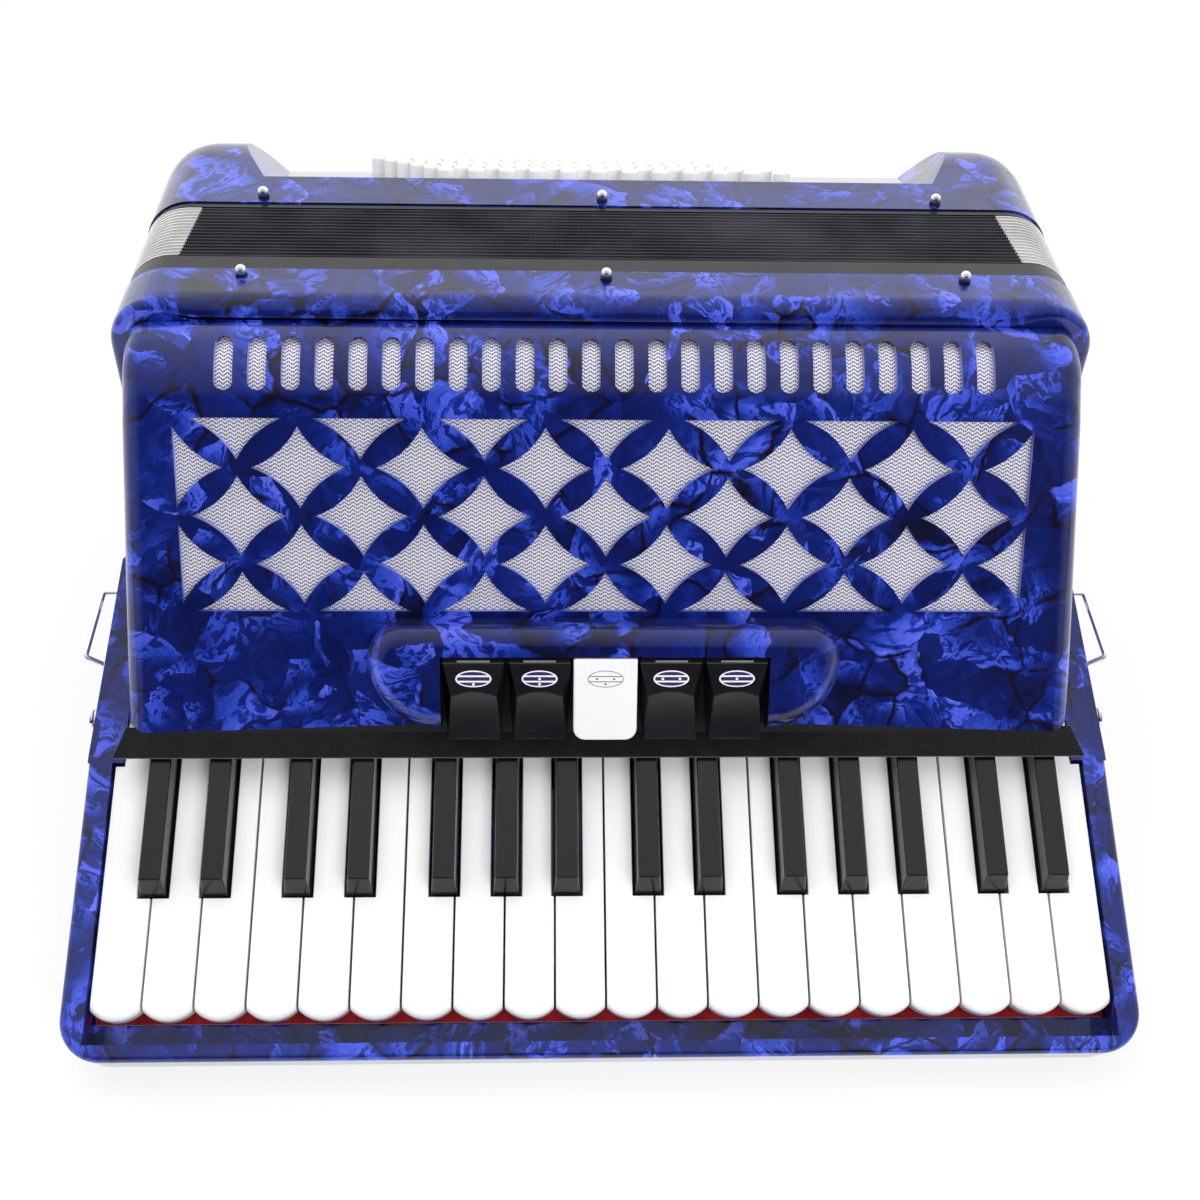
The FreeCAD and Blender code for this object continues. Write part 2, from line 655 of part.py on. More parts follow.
def keyboardBed():
    """Tray round the keys: cheeks, front rail and floor in one moulding."""
    body = newBody("keyboard_bed", "keys")
    corner = [("bedHalf", "-bedReach + bedCorner"), ("bedHalf", "-bedBack"), ("-bedHalf", "-bedBack"),
              ("-bedHalf", "-bedReach + bedCorner"), ("-bedHalf + bedCorner", "-bedReach"),
              ("bedHalf - bedCorner", "-bedReach")]
    outer = outline(body, "XY_Plane", corner, curves={3: "bedCorner", 5: "bedCorner"}, lift="railTop")
    tray = pad(body, outer, "railTop + floorDrop + floorThick", down=True)
    top, back, close = value("railTop"), -value("bedBack"), value("closeTo")

    def upperEdge(edge):
        box = edge.BoundBox
        level = abs(box.ZMin - top) < close and abs(box.ZMax - top) < close
        return level and box.YMin < back - close

    roundOff(body, tray, "bedRound", upperEdge)
    inner = outline(body, "XY_Plane", [("-whiteHalf - cheekGap", "-bedReach + railWidth"),
                                       ("whiteHalf + cheekGap", "-bedReach + railWidth"),
                                       ("whiteHalf + cheekGap", "overrun"),
                                       ("-whiteHalf - cheekGap", "overrun")], lift="railTop")
    pocket(body, inner, "railTop + floorDrop")


def keyFelts():
    """Red felt under the key fronts and the black strip that closes the gap over the keys."""
    half = value("whiteHalf")
    reach = value("keyReach")
    red = Part.makeBox(half * 2, value("redFeltWidth"), value("redFeltThick"),
                       Vector(-half, -reach, -value("floorDrop")))
    low = value("stripLow")
    near, far = -value("stripReach"), value("stripDepth") - value("stripReach")
    inside = value("coverHalfLow")
    outside = inside + value("stripSlant")
    points = [Vector(-outside, near, low), Vector(outside, near, low), Vector(inside, far, low),
              Vector(-inside, far, low)]
    strip = plate(points, Vector(0, 0, value("stripThick")))
    felts = Part.makeCompound([red, strip])
    newFeature("key_felts", felts.transformed(lean("keys").toMatrix()))


# Grille cover

def coverPath(inset, start, end):
    """Points of the cover's section: up the face, round the shoulder and back along the top."""
    slope = math.radians(value("faceSlope"))
    normal = Vector(0, -math.sin(slope), math.cos(slope))
    up = Vector(0, math.cos(slope), math.sin(slope))
    foot = Vector(0, value("faceY"), value("faceZ"))
    top, radius = value("coverTop"), value("coverRound")
    apex = foot.y + (top - foot.z) / math.tan(slope)
    middle = Vector(0, apex + radius * math.tan(slope / 2), top - radius)
    left = radius - inset
    half = Vector(0, -math.sin(slope / 2), math.cos(slope / 2))
    return [foot + up * start - normal * inset, middle + normal * left, middle + half * left,
            middle + Z_AXIS * left, Vector(0, end, top - inset)]


def sectionFace(path, close):
    """Face over a cover path, closed through further points."""
    edges = [Part.LineSegment(path[0], path[1]), Part.Arc(path[1], path[2], path[3])]
    run = [path[3], path[4]] + close + [path[0]]
    edges += [Part.LineSegment(a, b) for a, b in zip(run, run[1:])]
    return Part.Face(Part.Wire([edge.toShape() for edge in edges]))


def acrossFull(face, half):
    """Prism of a section face over the width from -half to half."""
    face = face.copy()
    face.translate(Vector(-half, 0, 0))
    return face.extrude(Vector(half * 2, 0, 0))


def coverTrapezoid(inset):
    """Prism of the cover's front view, square to its face."""
    low, high = value("coverHalfLow") - inset, value("coverHalfHigh") - inset
    rise = value("coverTaperRise")
    taper = (low - high) / rise
    start, end = -rise / 2, rise * 2
    deep = value("coverTop")
    points = [Vector(-low + taper * start, start, -deep), Vector(low - taper * start, start, -deep),
              Vector(low - taper * end, end, -deep), Vector(-low + taper * end, end, -deep)]
    prism = plate(points, Vector(0, 0, deep * 2))
    return prism.transformed(lean("face").toMatrix())


def starPrism(x, y):
    """One opening of the lattice: a diamond whose sides curve in."""
    a, b, dip = value("starHalf"), value("starTall"), value("starDip")
    tips = [Vector(a, 0, 0), Vector(0, b, 0), Vector(-a, 0, 0), Vector(0, -b, 0)]
    edges = []
    for start, end in zip(tips, tips[1:] + tips[:1]):
        chord = (start + end) * 0.5
        edges.append(Part.Arc(start, chord * (1 - dip / chord.Length), end).toShape())
    face = Part.Face(Part.Wire(edges))
    face.translate(Vector(x, y, -value("coverWall") - value("overrun") / 2))
    return face.extrude(Vector(0, 0, value("coverWall") + value("overrun")))


def latticeCuts():
    """All openings of the lattice, cut off at the panel's border."""
    pitch, rise, foot = value("starPitch"), value("starRise"), value("panelFoot")
    columns = int(value("starColumns"))
    half = pitch * columns / 2
    stars = []
    for row in range(int(value("starRows"))):
        shift = pitch / 2 * (row % 2)
        y = foot + rise / 2 * row
        stars += [starPrism(column * pitch + shift, y) for column in range(-columns, columns)]
    deep = value("coverWall") + value("overrun")
    panel = Part.makeBox(half * 2, value("starRise") * 2, deep * 2, Vector(-half, foot, -deep))
    cuts = [star.common(panel) for star in stars]
    return [cut.transformed(lean("face").toMatrix()) for cut in cuts if cut.Solids]


def slotCuts():
    """Upright slots that run from the face over the rounded shoulder."""
    slope = math.radians(value("faceSlope"))
    foot = Vector(0, value("faceY") + value("slotFoot") * math.cos(slope),
                  value("faceZ") + value("slotFoot") * math.sin(slope))
    end = Vector(0, value("slotEnd"), value("coverTop"))
    along = (end - foot).normalize()
    outward = X_AXIS.cross(along)
    half = value("slotWidth") / 2
    deep = value("coverWall") + value("overrun")
    count = int(value("slotCount"))
    cuts = []
    for n in range(count):
        shift = X_AXIS * ((n - (count - 1) / 2) * value("slotPitch"))
        low, high = foot + shift + along * half, end + shift - along * half
        side = X_AXIS * half
        edges = [Part.LineSegment(low + side, high + side),
                 Part.Arc(high + side, high + along * half, high - side),
                 Part.LineSegment(high - side, low - side),
                 Part.Arc(low - side, low - along * half, low + side)]
        face = Part.Face(Part.Wire([edge.toShape() for edge in edges]))
        face.translate(outward * -deep)
        cuts.append(face.extrude(outward * (deep * 2)))
    return cuts


def switchHousing():
    """Domed hump round the register switches, open towards the keys."""
    half, foot, top = value("humpHalf"), value("humpFoot"), value("humpTop")
    low, high = value("humpLowCorner"), value("humpHighCorner")
    cut = 1 - math.sqrt(0.5)
    run = [(-half + low, foot), (half - low, foot), (half - low * cut, foot + low * cut),
           (half, foot + low), (half, top - high), (half - high * cut, top - high * cut), (half - high, top),
           (-half + high, top), (-half + high * cut, top - high * cut), (-half, top - high),
           (-half, foot + low), (-half + low * cut, foot + low * cut)]
    at = [Vector(x, y, -value("coverWall") / 2) for x, y in run]
    edges = [Part.LineSegment(at[0], at[1]), Part.Arc(at[1], at[2], at[3]), Part.LineSegment(at[3], at[4]),
             Part.Arc(at[4], at[5], at[6]), Part.LineSegment(at[6], at[7]), Part.Arc(at[7], at[8], at[9]),
             Part.LineSegment(at[9], at[10]), Part.Arc(at[10], at[11], at[0])]
    rise = value("humpRise") + value("coverWall") / 2
    solid = Part.Face(Part.Wire([edge.toShape() for edge in edges])).extrude(Vector(0, 0, rise))
    crest = value("humpRise")
    rim = [edge for edge in solid.Edges if abs(edge.BoundBox.ZMin - crest) < value("closeTo")]
    solid = solid.makeFillet(value("humpDome"), rim)
    return solid.transformed(lean("face").toMatrix())


def switchRecess():
    wide = value("recessHalf")
    deep = value("humpRise") + value("overrun")
    start = -value("overrun")
    tall = value("switchTop") + value("humpRoom") - start
    recess = Part.makeBox(wide * 2, tall, deep, Vector(-wide, start, 0))
    return recess.transformed(lean("face").toMatrix())


def onSkin(edge, inset=0):
    """Whether an edge runs up one end of the cover's face, over its shoulder or along its top."""
    slope = math.radians(value("faceSlope"))
    normal = Vector(0, -math.sin(slope), math.cos(slope))
    foot = Vector(0, value("faceY"), value("faceZ"))
    heart = coverPath(value("coverRound"), 0, 0)[3]
    close = value("clothGap")

    def near(point):
        face = abs((point - foot).dot(normal) + inset) < close
        level = abs(point.z - value("coverTop") + inset) < close
        ring = Vector(0, point.y - heart.y, point.z - heart.z).Length
        return face or level or abs(ring - value("coverRound") + inset) < close

    middle = edge.valueAt((edge.FirstParameter + edge.LastParameter) / 2)
    across = edge.BoundBox.XLength > value("coverHalfLow")
    return near(middle) and near(edge.Vertexes[0].Point) and near(edge.Vertexes[-1].Point) and not across


def grilleCover():
    """Shell over the key levers, with the lattice, the slots and the switch housing."""
    back, lift = value("coverBack"), value("coverLift")
    slope = math.radians(value("keySlope"))
    rest = [Vector(0, back, (back * math.sin(slope) + lift) / math.cos(slope)),
            Vector(0, *keyPoint(value("stripDepth"), lift)),
            Vector(0, *keyPoint(value("stripDepth"), value("stripLow") + value("stripThick")))]
    wall, wide = value("coverWall"), value("bedHalf")
    outer = acrossFull(sectionFace(coverPath(0, 0, back), rest), wide).common(coverTrapezoid(0))
    outer = outer.makeFillet(value("coverEdge"), [edge for edge in outer.Edges if onSkin(edge)])
    past = value("overrun")
    below = Vector(0, back + past, -past)
    inner = acrossFull(sectionFace(coverPath(wall, -wall, back + past),
                                   [below, Vector(0, value("faceY"), -past)]), wide)
    inner = inner.common(coverTrapezoid(wall))
    edges = [edge for edge in inner.Edges if onSkin(edge, wall)]
    inner = inner.makeFillet(value("coverEdge") - wall, edges)
    shell = outer.cut(inner).fuse(switchHousing().cut(switchRecess()))
    shell = shell.cut(inner)
    shell = shell.cut(Part.makeCompound(latticeCuts() + slotCuts()))
    newFeature("grille_cover", shell.removeSplitter())


def grilleCloth():
    """Woven metal cloth just behind the cover."""
    near = value("coverWall") + value("clothGap")
    far = near + value("clothThick")
    start, end = value("clothFoot"), value("coverBack") - value("clothThick")
    outer, inner = coverPath(near, start, end), coverPath(far, start, end)
    edges = [Part.LineSegment(outer[0], outer[1]), Part.Arc(outer[1], outer[2], outer[3]),
             Part.LineSegment(outer[3], outer[4]), Part.LineSegment(outer[4], inner[4]),
             Part.LineSegment(inner[4], inner[3]), Part.Arc(inner[3], inner[2], inner[1]),
             Part.LineSegment(inner[1], inner[0]), Part.LineSegment(inner[0], outer[0])]
    face = Part.Face(Part.Wire([edge.toShape() for edge in edges]))
    newFeature("grille_cloth", acrossFull(face, value("clothHalf")))


# Register switches

def registerSwitch(number):
    """Rocking tab of the register machine; the middle one is plain, the others are faceted."""
    body = newBody(f"register_switch_{number}", "face")
    count = int(value("switchCount"))
    middle = f"(switchPitch * ({number} - (switchCount + 1) / 2))"
    wide = "((switchPitch - switchGap) / 2)"
    foot, waist, top = "switchFoot", "switchWaist", "switchTop"
    if number == (count + 1) // 2:
        corners = [(f"{middle} - {wide} + tipRound", foot), (f"{middle} + {wide} - tipRound", foot),
                   (f"{middle} + {wide}", f"{foot} + tipRound"), (f"{middle} + {wide}", top),
                   (f"{middle} - {wide}", top), (f"{middle} - {wide}", f"{foot} + tipRound")]
        flat = outline(body, "XY_Plane", corners, curves={1: "tipRound", 5: "tipRound"}, lift="switchLow")
        pad(body, flat, "switchThick")
        return switchBore(body, middle)
    between = f"(({wide} + switchNarrow / 2) / 2)"
    low = [(-1, "switchNarrow / 2", foot), (1, "switchNarrow / 2", foot), (1, between, waist),
           (1, wide, top), (-1, wide, top), (-1, between, waist)]
    high = [(-1, "switchNarrow / 2 - switchBevel", f"{foot} + switchBevel"),
            (1, "switchNarrow / 2 - switchBevel", f"{foot} + switchBevel"), (1, "switchRidge / 2", waist),
            (1, f"{wide} - switchBevel", f"{top} - switchBevel"),
            (-1, f"{wide} - switchBevel", f"{top} - switchBevel"), (-1, "switchRidge / 2", waist)]
    sketches = []
    for corners, lift in ((low, "switchLow"), (high, "switchLow + switchThick")):
        places = [(f"{middle} + ({side}) * ({x})", y) for side, x, y in corners]
        sketches.append(outline(body, "XY_Plane", places, lift=lift))
    loft(body, sketches[0], sketches[1])
    return switchBore(body, middle)


def switchBore(body, middle):
    centres = [("switchAxis", "switchAxisRise")]
    bore = circles(body, "YZ_Plane", centres, "switchRod + axlePlay", lift=middle)
    return pocket(body, bore, "switchPitch + overrun", middle=True)


# Treble case

def trebleCase():
    """Case behind the keyboard: sides, back, lower front wall, frame and bulkhead."""
    floor = -value("keyHeight")
    near, wall = value("frameNear"), value("caseWall")
    edge = -value("bedBack")
    under = value("floorDrop") + value("floorThick")
    slope = math.radians(value("keySlope"))
    farTop = (near + value("railTop") * math.sin(slope)) / math.cos(slope)
    side = [keyPoint(edge, value("railTop")), keyPoint(farTop, value("railTop")), (near, floor),
            (value("caseFront"), floor), keyPoint(edge, -under)]
    wide = value("bedHalf")
    body = plate([Vector(-wide, y, z) for y, z in side], Vector(wide * 2, 0, 0))
    front = side[4][0] - value("whiteFront")
    shoulder, end = value("shoulderY"), near
    plan = [(wide, front), (wide, 0), (value("shoulderHalf"), shoulder), (value("shoulderEnd"), end)]
    run = plan + [(-x, y) for x, y in reversed(plan)]
    body = body.common(plate([Vector(x, y, floor) for x, y in run], Z_AXIS * (value("frameTop") - floor)))
    past = value("overrun")
    topNear = keyPoint(edge - past, value("railTop") + past)
    inner = [topNear, keyPoint(farTop + past * 2, value("railTop") + past * 2), (near + past, floor + wall),
             (value("caseFront") + wall, floor + wall), keyPoint(edge + wall, -value("floorDrop") - wall),
             keyPoint(edge - past, -value("floorDrop"))]
    half = value("innerHalf")
    hollow = plate([Vector(-half, y, z) for y, z in inner], Vector(half * 2, 0, 0))
    throat = value("frameHalf") - value("frameWall")
    behind = Part.makeBox(wide, near, value("frameTop") * 2, Vector(throat, value("caseTurn"), floor))
    hollow = hollow.cut(behind).cut(behind.mirror(ORIGIN, X_AXIS))
    body = body.cut(hollow)
    ring = framePrism(0, near, value("frameFar"))
    top = value("frameTop")
    close = value("closeTo")
    boxes = [(one, one.BoundBox) for one in ring.Edges]
    edges = [one for one, box in boxes
             if abs(box.YMin - near) < close and box.YLength < close and box.ZMax > top / 2]
    ring = ring.makeFillet(value("frameRound"), edges)
    ring = ring.cut(framePrism(value("frameWall"), near - past, value("frameFar") + past))
    inset, foot = value("frameWall") / 2, value("bulkheadFoot")
    inside = value("frameHalf") - inset
    wallPlate = Part.makeBox(inside * 2, value("bulkhead"), top - inset - foot, Vector(-inside, near, foot))
    wallPlate = wallPlate.common(framePrism(inset, near, value("frameFar")))
    newFeature("treble_case", fused([body, ring, wallPlate]))


def trebleReedBlocks():
    """Soundboard under the pallets and the reed blocks that hang from it."""
    wide = value("innerHalf")
    low = -value("boardDrop")
    near, far = value("boardNear"), value("boardFar")
    shapes = [Part.makeBox(wide * 2, far - near, value("boardThick"), Vector(-wide, near, low))]
    half, width = value("reedHalf"), value("reedWidth")
    for n in range(2):
        start = near + value("reedInset") + n * value("reedSpacing")
        shapes.append(Part.makeBox(half * 2, width, value("reedDepth"),
                                   Vector(-half, start, low - value("reedDepth"))))
    group = Part.makeCompound(shapes)
    newFeature("treble_reed_blocks", group.transformed(lean("keys").toMatrix()))


# Fittings

def pin(x, y):
    """Bellows pin with a collar, a neck and a ball head."""
    foot = Vector(x, y, value("frameTop"))
    ball = foot + Z_AXIS * value("pinRise")
    collar = Part.makeCylinder(value("pinCollar"), value("pinCollarThick"), foot)
    return fused([collar, rod(value("pinNeck"), foot, ball), Part.makeSphere(value("pinBall"), ball)])


def pins(y):
    return [pin(x, y) for x in (-value("pinX"), 0, value("pinX"))]


def sideHalf(y):
    """Half width of the treble case at a place behind the strip line."""
    taper = (value("bedHalf") - value("shoulderHalf")) / value("shoulderY")
    return value("bedHalf") - taper * y


def strapBracket(side):
    """Wire loop on the case side for a shoulder strap, with a rosette at each leg."""
    out, radius = side * value("bracketOut"), value("wireRadius")
    farY, nearY = value("bracketFarY"), value("bracketNearY")
    farRoot = Vector(side * sideHalf(farY), farY, value("bracketFarZ"))
    nearRoot = Vector(side * sideHalf(nearY), nearY, value("bracketRootZ"))
    run = [farRoot, Vector(out, farY, value("bracketFarZ")),
           Vector(out, nearY, value("bracketNearZ")), nearRoot]
    shapes = [rod(radius, a, b) for a, b in zip(run, run[1:])]
    shapes += [Part.makeSphere(radius, point) for point in run[1:3]]
    for root in (farRoot, nearRoot):
        face = root + X_AXIS * side * value("rosetteThick")
        shapes.append(Part.makeCylinder(value("rosetteRadius"), value("rosetteThick"), face, X_AXIS * -side))
    return fused(shapes).cut(wedge(side))


def wedge(side):
    """Solid inside of the tapering case side, to trim what stands on it."""
    far = value("shoulderY")
    points = [Vector(0, 0, 0), Vector(side * value("bedHalf"), 0, 0),
              Vector(side * value("shoulderHalf"), far, 0), Vector(0, far, 0)]
    solid = plate(points, Z_AXIS * value("frameTop"))
    solid.translate(Z_AXIS * (-value("frameTop") / 2))
    return solid


def strapStud(side):
    """Chrome stud on a black washer, on the case side."""
    y, z = value("studY"), value("studZ")
    root = Vector(side * (sideHalf(y) - value("washerThick") / 2), y, z)
    out = X_AXIS * side
    thick = value("washerThick")
    washer = Part.makeCylinder(value("washerRadius"), thick * 3 / 2, root, out)
    head = Part.makeCylinder(value("studRadius"), value("studThick"), root + out * thick, out)
    head = head.makeFillet(value("washerThick") / 2, [head.Edges[0]])
    return fused([washer, head]).cut(wedge(side))


def coverScrew(side):
    """Screw that holds the cover's side to the case."""
    slope = math.radians(value("faceSlope"))
    y, z = value("screwY"), value("screwZ")
    along = (y - value("faceY")) * math.cos(slope) + (z - value("faceZ")) * math.sin(slope)
    taper = (value("coverHalfLow") - value("coverHalfHigh")) / value("coverTaperRise")
    start = value("coverHalfLow") - taper * along
    head = Part.makeCylinder(value("screwRadius"), value("screwThick"),
                             Vector(side * (start - value("coverWall") / 2), y, z), X_AXIS * side)
    return head.cut(coverTrapezoid(0))


def switchRod():
    """Rod that the register switches turn on, between the housing's walls."""
    half = value("recessHalf")
    start, end = [Vector(x, value("switchAxis"), value("switchAxisRise")) for x in (-half, half)]
    return rod(value("switchRod"), start, end).transformed(lean("face").toMatrix())


def trebleFittings():
    shapes = pins(value("pinNear")) + [switchRod()]
    for side in (-1, 1):
        shapes += [strapBracket(side), strapStud(side), coverScrew(side)]
    newFeature("treble_fittings", Part.makeCompound(shapes))


# Bellows

def foldLoft(inset, near, far):
    """Zigzag of ruled walls between alternating outlines."""
    count = int(value("foldCount")) * 2
    step = (far - near) / count
    lift = value("backGap")
    wires = []
    for n in range(count + 1):
        draw = inset + (0 if n % 2 else value("foldDepth"))
        low = -value("keyHeight") + draw + lift
        wires.append(roundedFrame(value("frameHalf") - draw, low, value("frameTop") - draw,
                                  value("frameCorner") - draw / 2, near + step * n))
    return Part.makeLoft(wires, True, True)


def bellows():
    """Pleated bellows with its two frames, closed."""
    near, far = value("bellowsNear"), value("bellowsFar")
    inset = value("foldInset")
    outer = foldLoft(inset, near, far)
    inner = foldLoft(inset + value("foldWall"), near, far)
    folds = outer.cut(inner)
    shapes = [folds]
    lift = value("backGap")
    width = value("bellowsFrame") + value("foldDepth")
    past = value("overrun")
    for start, end in ((value("frameFar"), near), (far, value("bassNear") - value("bellowsGap"))):
        ring = framePrism(inset, start, end, lift)
        ring = ring.cut(framePrism(width, start - past, end + past, lift))
        shapes.append(ring)
    newFeature("bellows", Part.makeCompound(shapes))


# Bass side

def bassSection(inset, turn):
    """Outline of the bass case where its top has turned down by an angle, in degrees."""
    radius, heel, plan = [value(name) - inset for name in ("bassRound", "bassHeel", "bassPlan")]
    far = value("bassFar") - inset
    y = far - radius + radius * math.sin(math.radians(turn))
    drops = []
    for one in (radius, heel, plan):
        past = max(0, y - far + one)
        drops.append(one - math.sqrt(max(0, one * one - past * past)))
    down, up, aside = drops
    corner = value("frameCorner") - inset / 2 + value("bassCornerGain") * math.sin(math.radians(turn)) ** 2
    return roundedFrame(value("frameHalf") - inset - aside, -value("keyHeight") + inset + up,
                        value("frameTop") - inset - down, corner, y)


def bassForm(inset, nearPast):
    """Outer form of the bass case, drawn in by inset: straight, then rounded towards its outer face."""
    near = value("bassNear") - nearPast
    straight = framePrism(inset, near, value("bassFar") - value("bassRound"))
    steps = int(value("bassSteps"))
    wires = [bassSection(inset, 90 * n / steps) for n in range(steps + 1)]
    return straight.fuse(Part.makeLoft(wires, True)).removeSplitter()


def buttonCentres():
    """Rows of button centres on the plate; each row is half a pitch to the left of the one before."""
    rows = []
    for row in range(int(value("rowCount"))):
        y = f"firstRow + rowPitch * {row}"
        rows.append([(f"firstButton + buttonPitch * ({n} - {row} / 2)", y)
                     for n in range(int(value("buttonCount")))])
    return rows


def bassCase():
    """Bass case: rounded shell with a sloping recess for the button plate."""
    past, floor, thick = value("overrun"), value("plateThick"), value("bassWall")
    half, deep = value("plateHalf") + value("plateGap"), value("plateDepth") * 2
    rise = value("bassRound") / 2
    splay, flare = value("recessSplay") * deep, value("recessFlare") * rise
    form = bassForm(0, 0)
    onPlate = lean("plate").toMatrix()
    near, far = [[Vector(-foot, y, -floor), Vector(foot, y, -floor), Vector(foot + flare, y, rise - floor),
                  Vector(-foot - flare, y, rise - floor)] for y, foot in ((0, half), (deep, half + splay))]
    sides = [[near[n - 1], near[n], far[n], far[n - 1]] for n in range(len(near))]
    faces = [Part.Face(Part.makePolygon(run + run[:1])) for run in [near, far] + sides]
    recess = Part.Solid(Part.Shell(faces)).transformed(onPlate)
    wide = half + flare + splay
    low = [Vector(-wide, -thick, -floor - thick), Vector(wide, -thick, -floor - thick),
           Vector(wide, -thick, rise), Vector(-wide, -thick, rise)]
    lining = plate(low, Y_AXIS * deep).transformed(onPlate).common(form)
    hollow = bassForm(thick, past).cut(lining)
    ledge = value("recessLedge")
    window = Part.makeBox((half - ledge) * 2, value("plateDepth") - ledge * 2, past * 2 + thick,
                          Vector(-half + ledge, ledge, -floor - past - thick))
    inside = Vector(value("airX"), value("bassFar") - thick - past, value("airZ"))
    air = rod(value("airRadius") + value("buttonPlay"), inside, inside + Y_AXIS * (thick + past * 2))
    shell = form.cut(hollow).cut(recess).cut(window.transformed(onPlate)).cut(air)
    newFeature("bass_case", shell.removeSplitter())


def bassButtonPlate():
    """Plate in the recess, with a hole for each button."""
    body = newBody("bass_button_plate", "plate")
    far = "(plateHalf + recessSplay * plateDepth)"
    corners = [("-plateHalf", "plateGap"), ("plateHalf", "plateGap"), (far, "plateDepth"),
               ("-" + far, "plateDepth")]
    sheetOutline = outline(body, "XY_Plane", corners)
    pad(body, sheetOutline, "plateThick", down=True)
    centres = [place for line in buttonCentres() for place in line]
    holes = circles(body, "XY_Plane", centres, "buttonRadius + buttonPlay")
    pocket(body, holes, "plateThick + overrun")


def bassButtons():
    """Six rows of round buttons, square to the plate."""
    radius = value("buttonRadius")
    for number, line in enumerate(buttonCentres(), 1):
        shapes = []
        for x, y in line:
            foot = Vector(value(x), value(y), -value("buttonStem"))
            body = Part.makeCylinder(radius, value("buttonStem") + value("buttonRise"), foot)
            top = [edge for edge in body.Edges if edge.BoundBox.ZMin > 0]
            shapes.append(body.makeFillet(value("buttonRound"), top))
        group = Part.makeCompound(shapes)
        newFeature(f"bass_buttons_row_{number}", group.transformed(lean("plate").toMatrix()))


def bassReedBlocks():
    """Bass reed blocks on the inside of the back."""
    floor = -value("keyHeight") + value("bassWall")
    half = value("bassReedHalf")
    shapes = []
    for n in range(2):
        near = value("bassReedNear") + n * value("bassReedSpacing")
        shapes.append(Part.makeBox(half * 2, value("bassReedWidth"), value("bassReedRise"),
                                   Vector(-half, near, floor)))
    newFeature("bass_reed_blocks", Part.makeCompound(shapes))


def strapEnds():
    """Plates that hold the hand strap's ends on the outer face."""
    shapes = []
    for side in (-1, 1):
        start = value("strapHalf")
        low = start if side > 0 else -start - value("strapPlate")
        shapes.append(Part.makeBox(value("strapPlate"), value("strapPlateThick"), value("strapWidth"),
                                   Vector(low, value("bassFar"), value("strapZ") - value("strapWidth") / 2)))
    return shapes


def bassFittings():
    newFeature("bass_fittings", Part.makeCompound(pins(value("pinFar")) + strapEnds()))


def bassStrap():
    """Leather hand strap, bowed out from the case."""
    half, bow, thick = value("strapHalf"), value("strapBow"), value("strapThick")
    start = value("bassFar")
    low = value("strapZ") - value("strapWidth") / 2
    inner = [Vector(-half, start, low), Vector(0, start + bow, low), Vector(half, start, low)]
    outer = [point + Y_AXIS * thick for point in inner]
    edges = [Part.Arc(*inner), Part.LineSegment(inner[2], outer[2]), Part.Arc(outer[2], outer[1], outer[0]),
             Part.LineSegment(outer[0], inner[0])]
    face = Part.Face(Part.Wire([edge.toShape() for edge in edges]))
    newFeature("bass_strap", face.extrude(Z_AXIS * value("strapWidth")))


def airButton():
    """Air release button on the outer face."""
    start = Vector(value("airX"), value("bassFar") - value("airStem"), value("airZ"))
    end = Vector(value("airX"), value("bassFar") + value("airRise"), value("airZ"))
    body = rod(value("airRadius"), start, end)
    rim = [edge for edge in body.Edges if edge.BoundBox.YMin > end.y - value("buttonRound")]
    newFeature("air_button", body.makeFillet(value("buttonRound"), rim))


keys()
keyAxle()
keyboardBed()
keyFelts()
grilleCover()
grilleCloth()
for number in range(1, int(value("switchCount")) + 1):
    registerSwitch(number)
trebleCase()
trebleReedBlocks()
trebleFittings()
bellows()
bassCase()
bassButtonPlate()
bassButtons()
bassReedBlocks()
bassFittings()
bassStrap()
airButton()
doc.recompute()

for thing in doc.Objects:
    if "Invalid" in thing.State or "Error" in thing.State:
        raise SystemExit(f"{thing.Name} failed: {thing.State}")
for piece in pieces:
    if piece.Shape.isNull() or not piece.Shape.isValid():
        raise SystemExit(f"{piece.Label} has no valid shape")

os.makedirs("parts", exist_ok=True)
for piece in pieces:
    piece.Shape.exportStep(f"parts/{piece.Label}.step")
    box = piece.Shape.BoundBox
    print(piece.Label, len(piece.Shape.Solids), round(piece.Shape.Volume),
          [round(side, 1) for side in (box.XMin, box.XMax, box.YMin, box.YMax, box.ZMin, box.ZMax)])
print(len(pieces), "nodes")
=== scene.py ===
import math

import bmesh
import bpy
from mathutils import Matrix, Vector


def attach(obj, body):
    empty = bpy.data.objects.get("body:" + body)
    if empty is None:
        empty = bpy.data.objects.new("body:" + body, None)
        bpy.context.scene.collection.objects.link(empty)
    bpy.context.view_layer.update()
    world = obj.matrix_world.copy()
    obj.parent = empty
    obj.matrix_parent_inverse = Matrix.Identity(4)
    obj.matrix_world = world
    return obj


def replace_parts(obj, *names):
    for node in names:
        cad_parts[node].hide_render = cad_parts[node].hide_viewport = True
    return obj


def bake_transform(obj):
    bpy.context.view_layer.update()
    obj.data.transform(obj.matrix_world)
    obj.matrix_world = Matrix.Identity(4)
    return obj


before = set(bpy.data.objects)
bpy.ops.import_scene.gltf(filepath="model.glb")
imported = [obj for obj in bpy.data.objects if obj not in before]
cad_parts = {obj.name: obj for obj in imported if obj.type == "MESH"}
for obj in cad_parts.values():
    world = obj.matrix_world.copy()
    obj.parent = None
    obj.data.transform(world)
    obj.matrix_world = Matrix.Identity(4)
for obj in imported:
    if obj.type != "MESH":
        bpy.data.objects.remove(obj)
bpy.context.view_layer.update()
mm = 0.001
hair = 0.001  # places this close together count as one, in millimetres

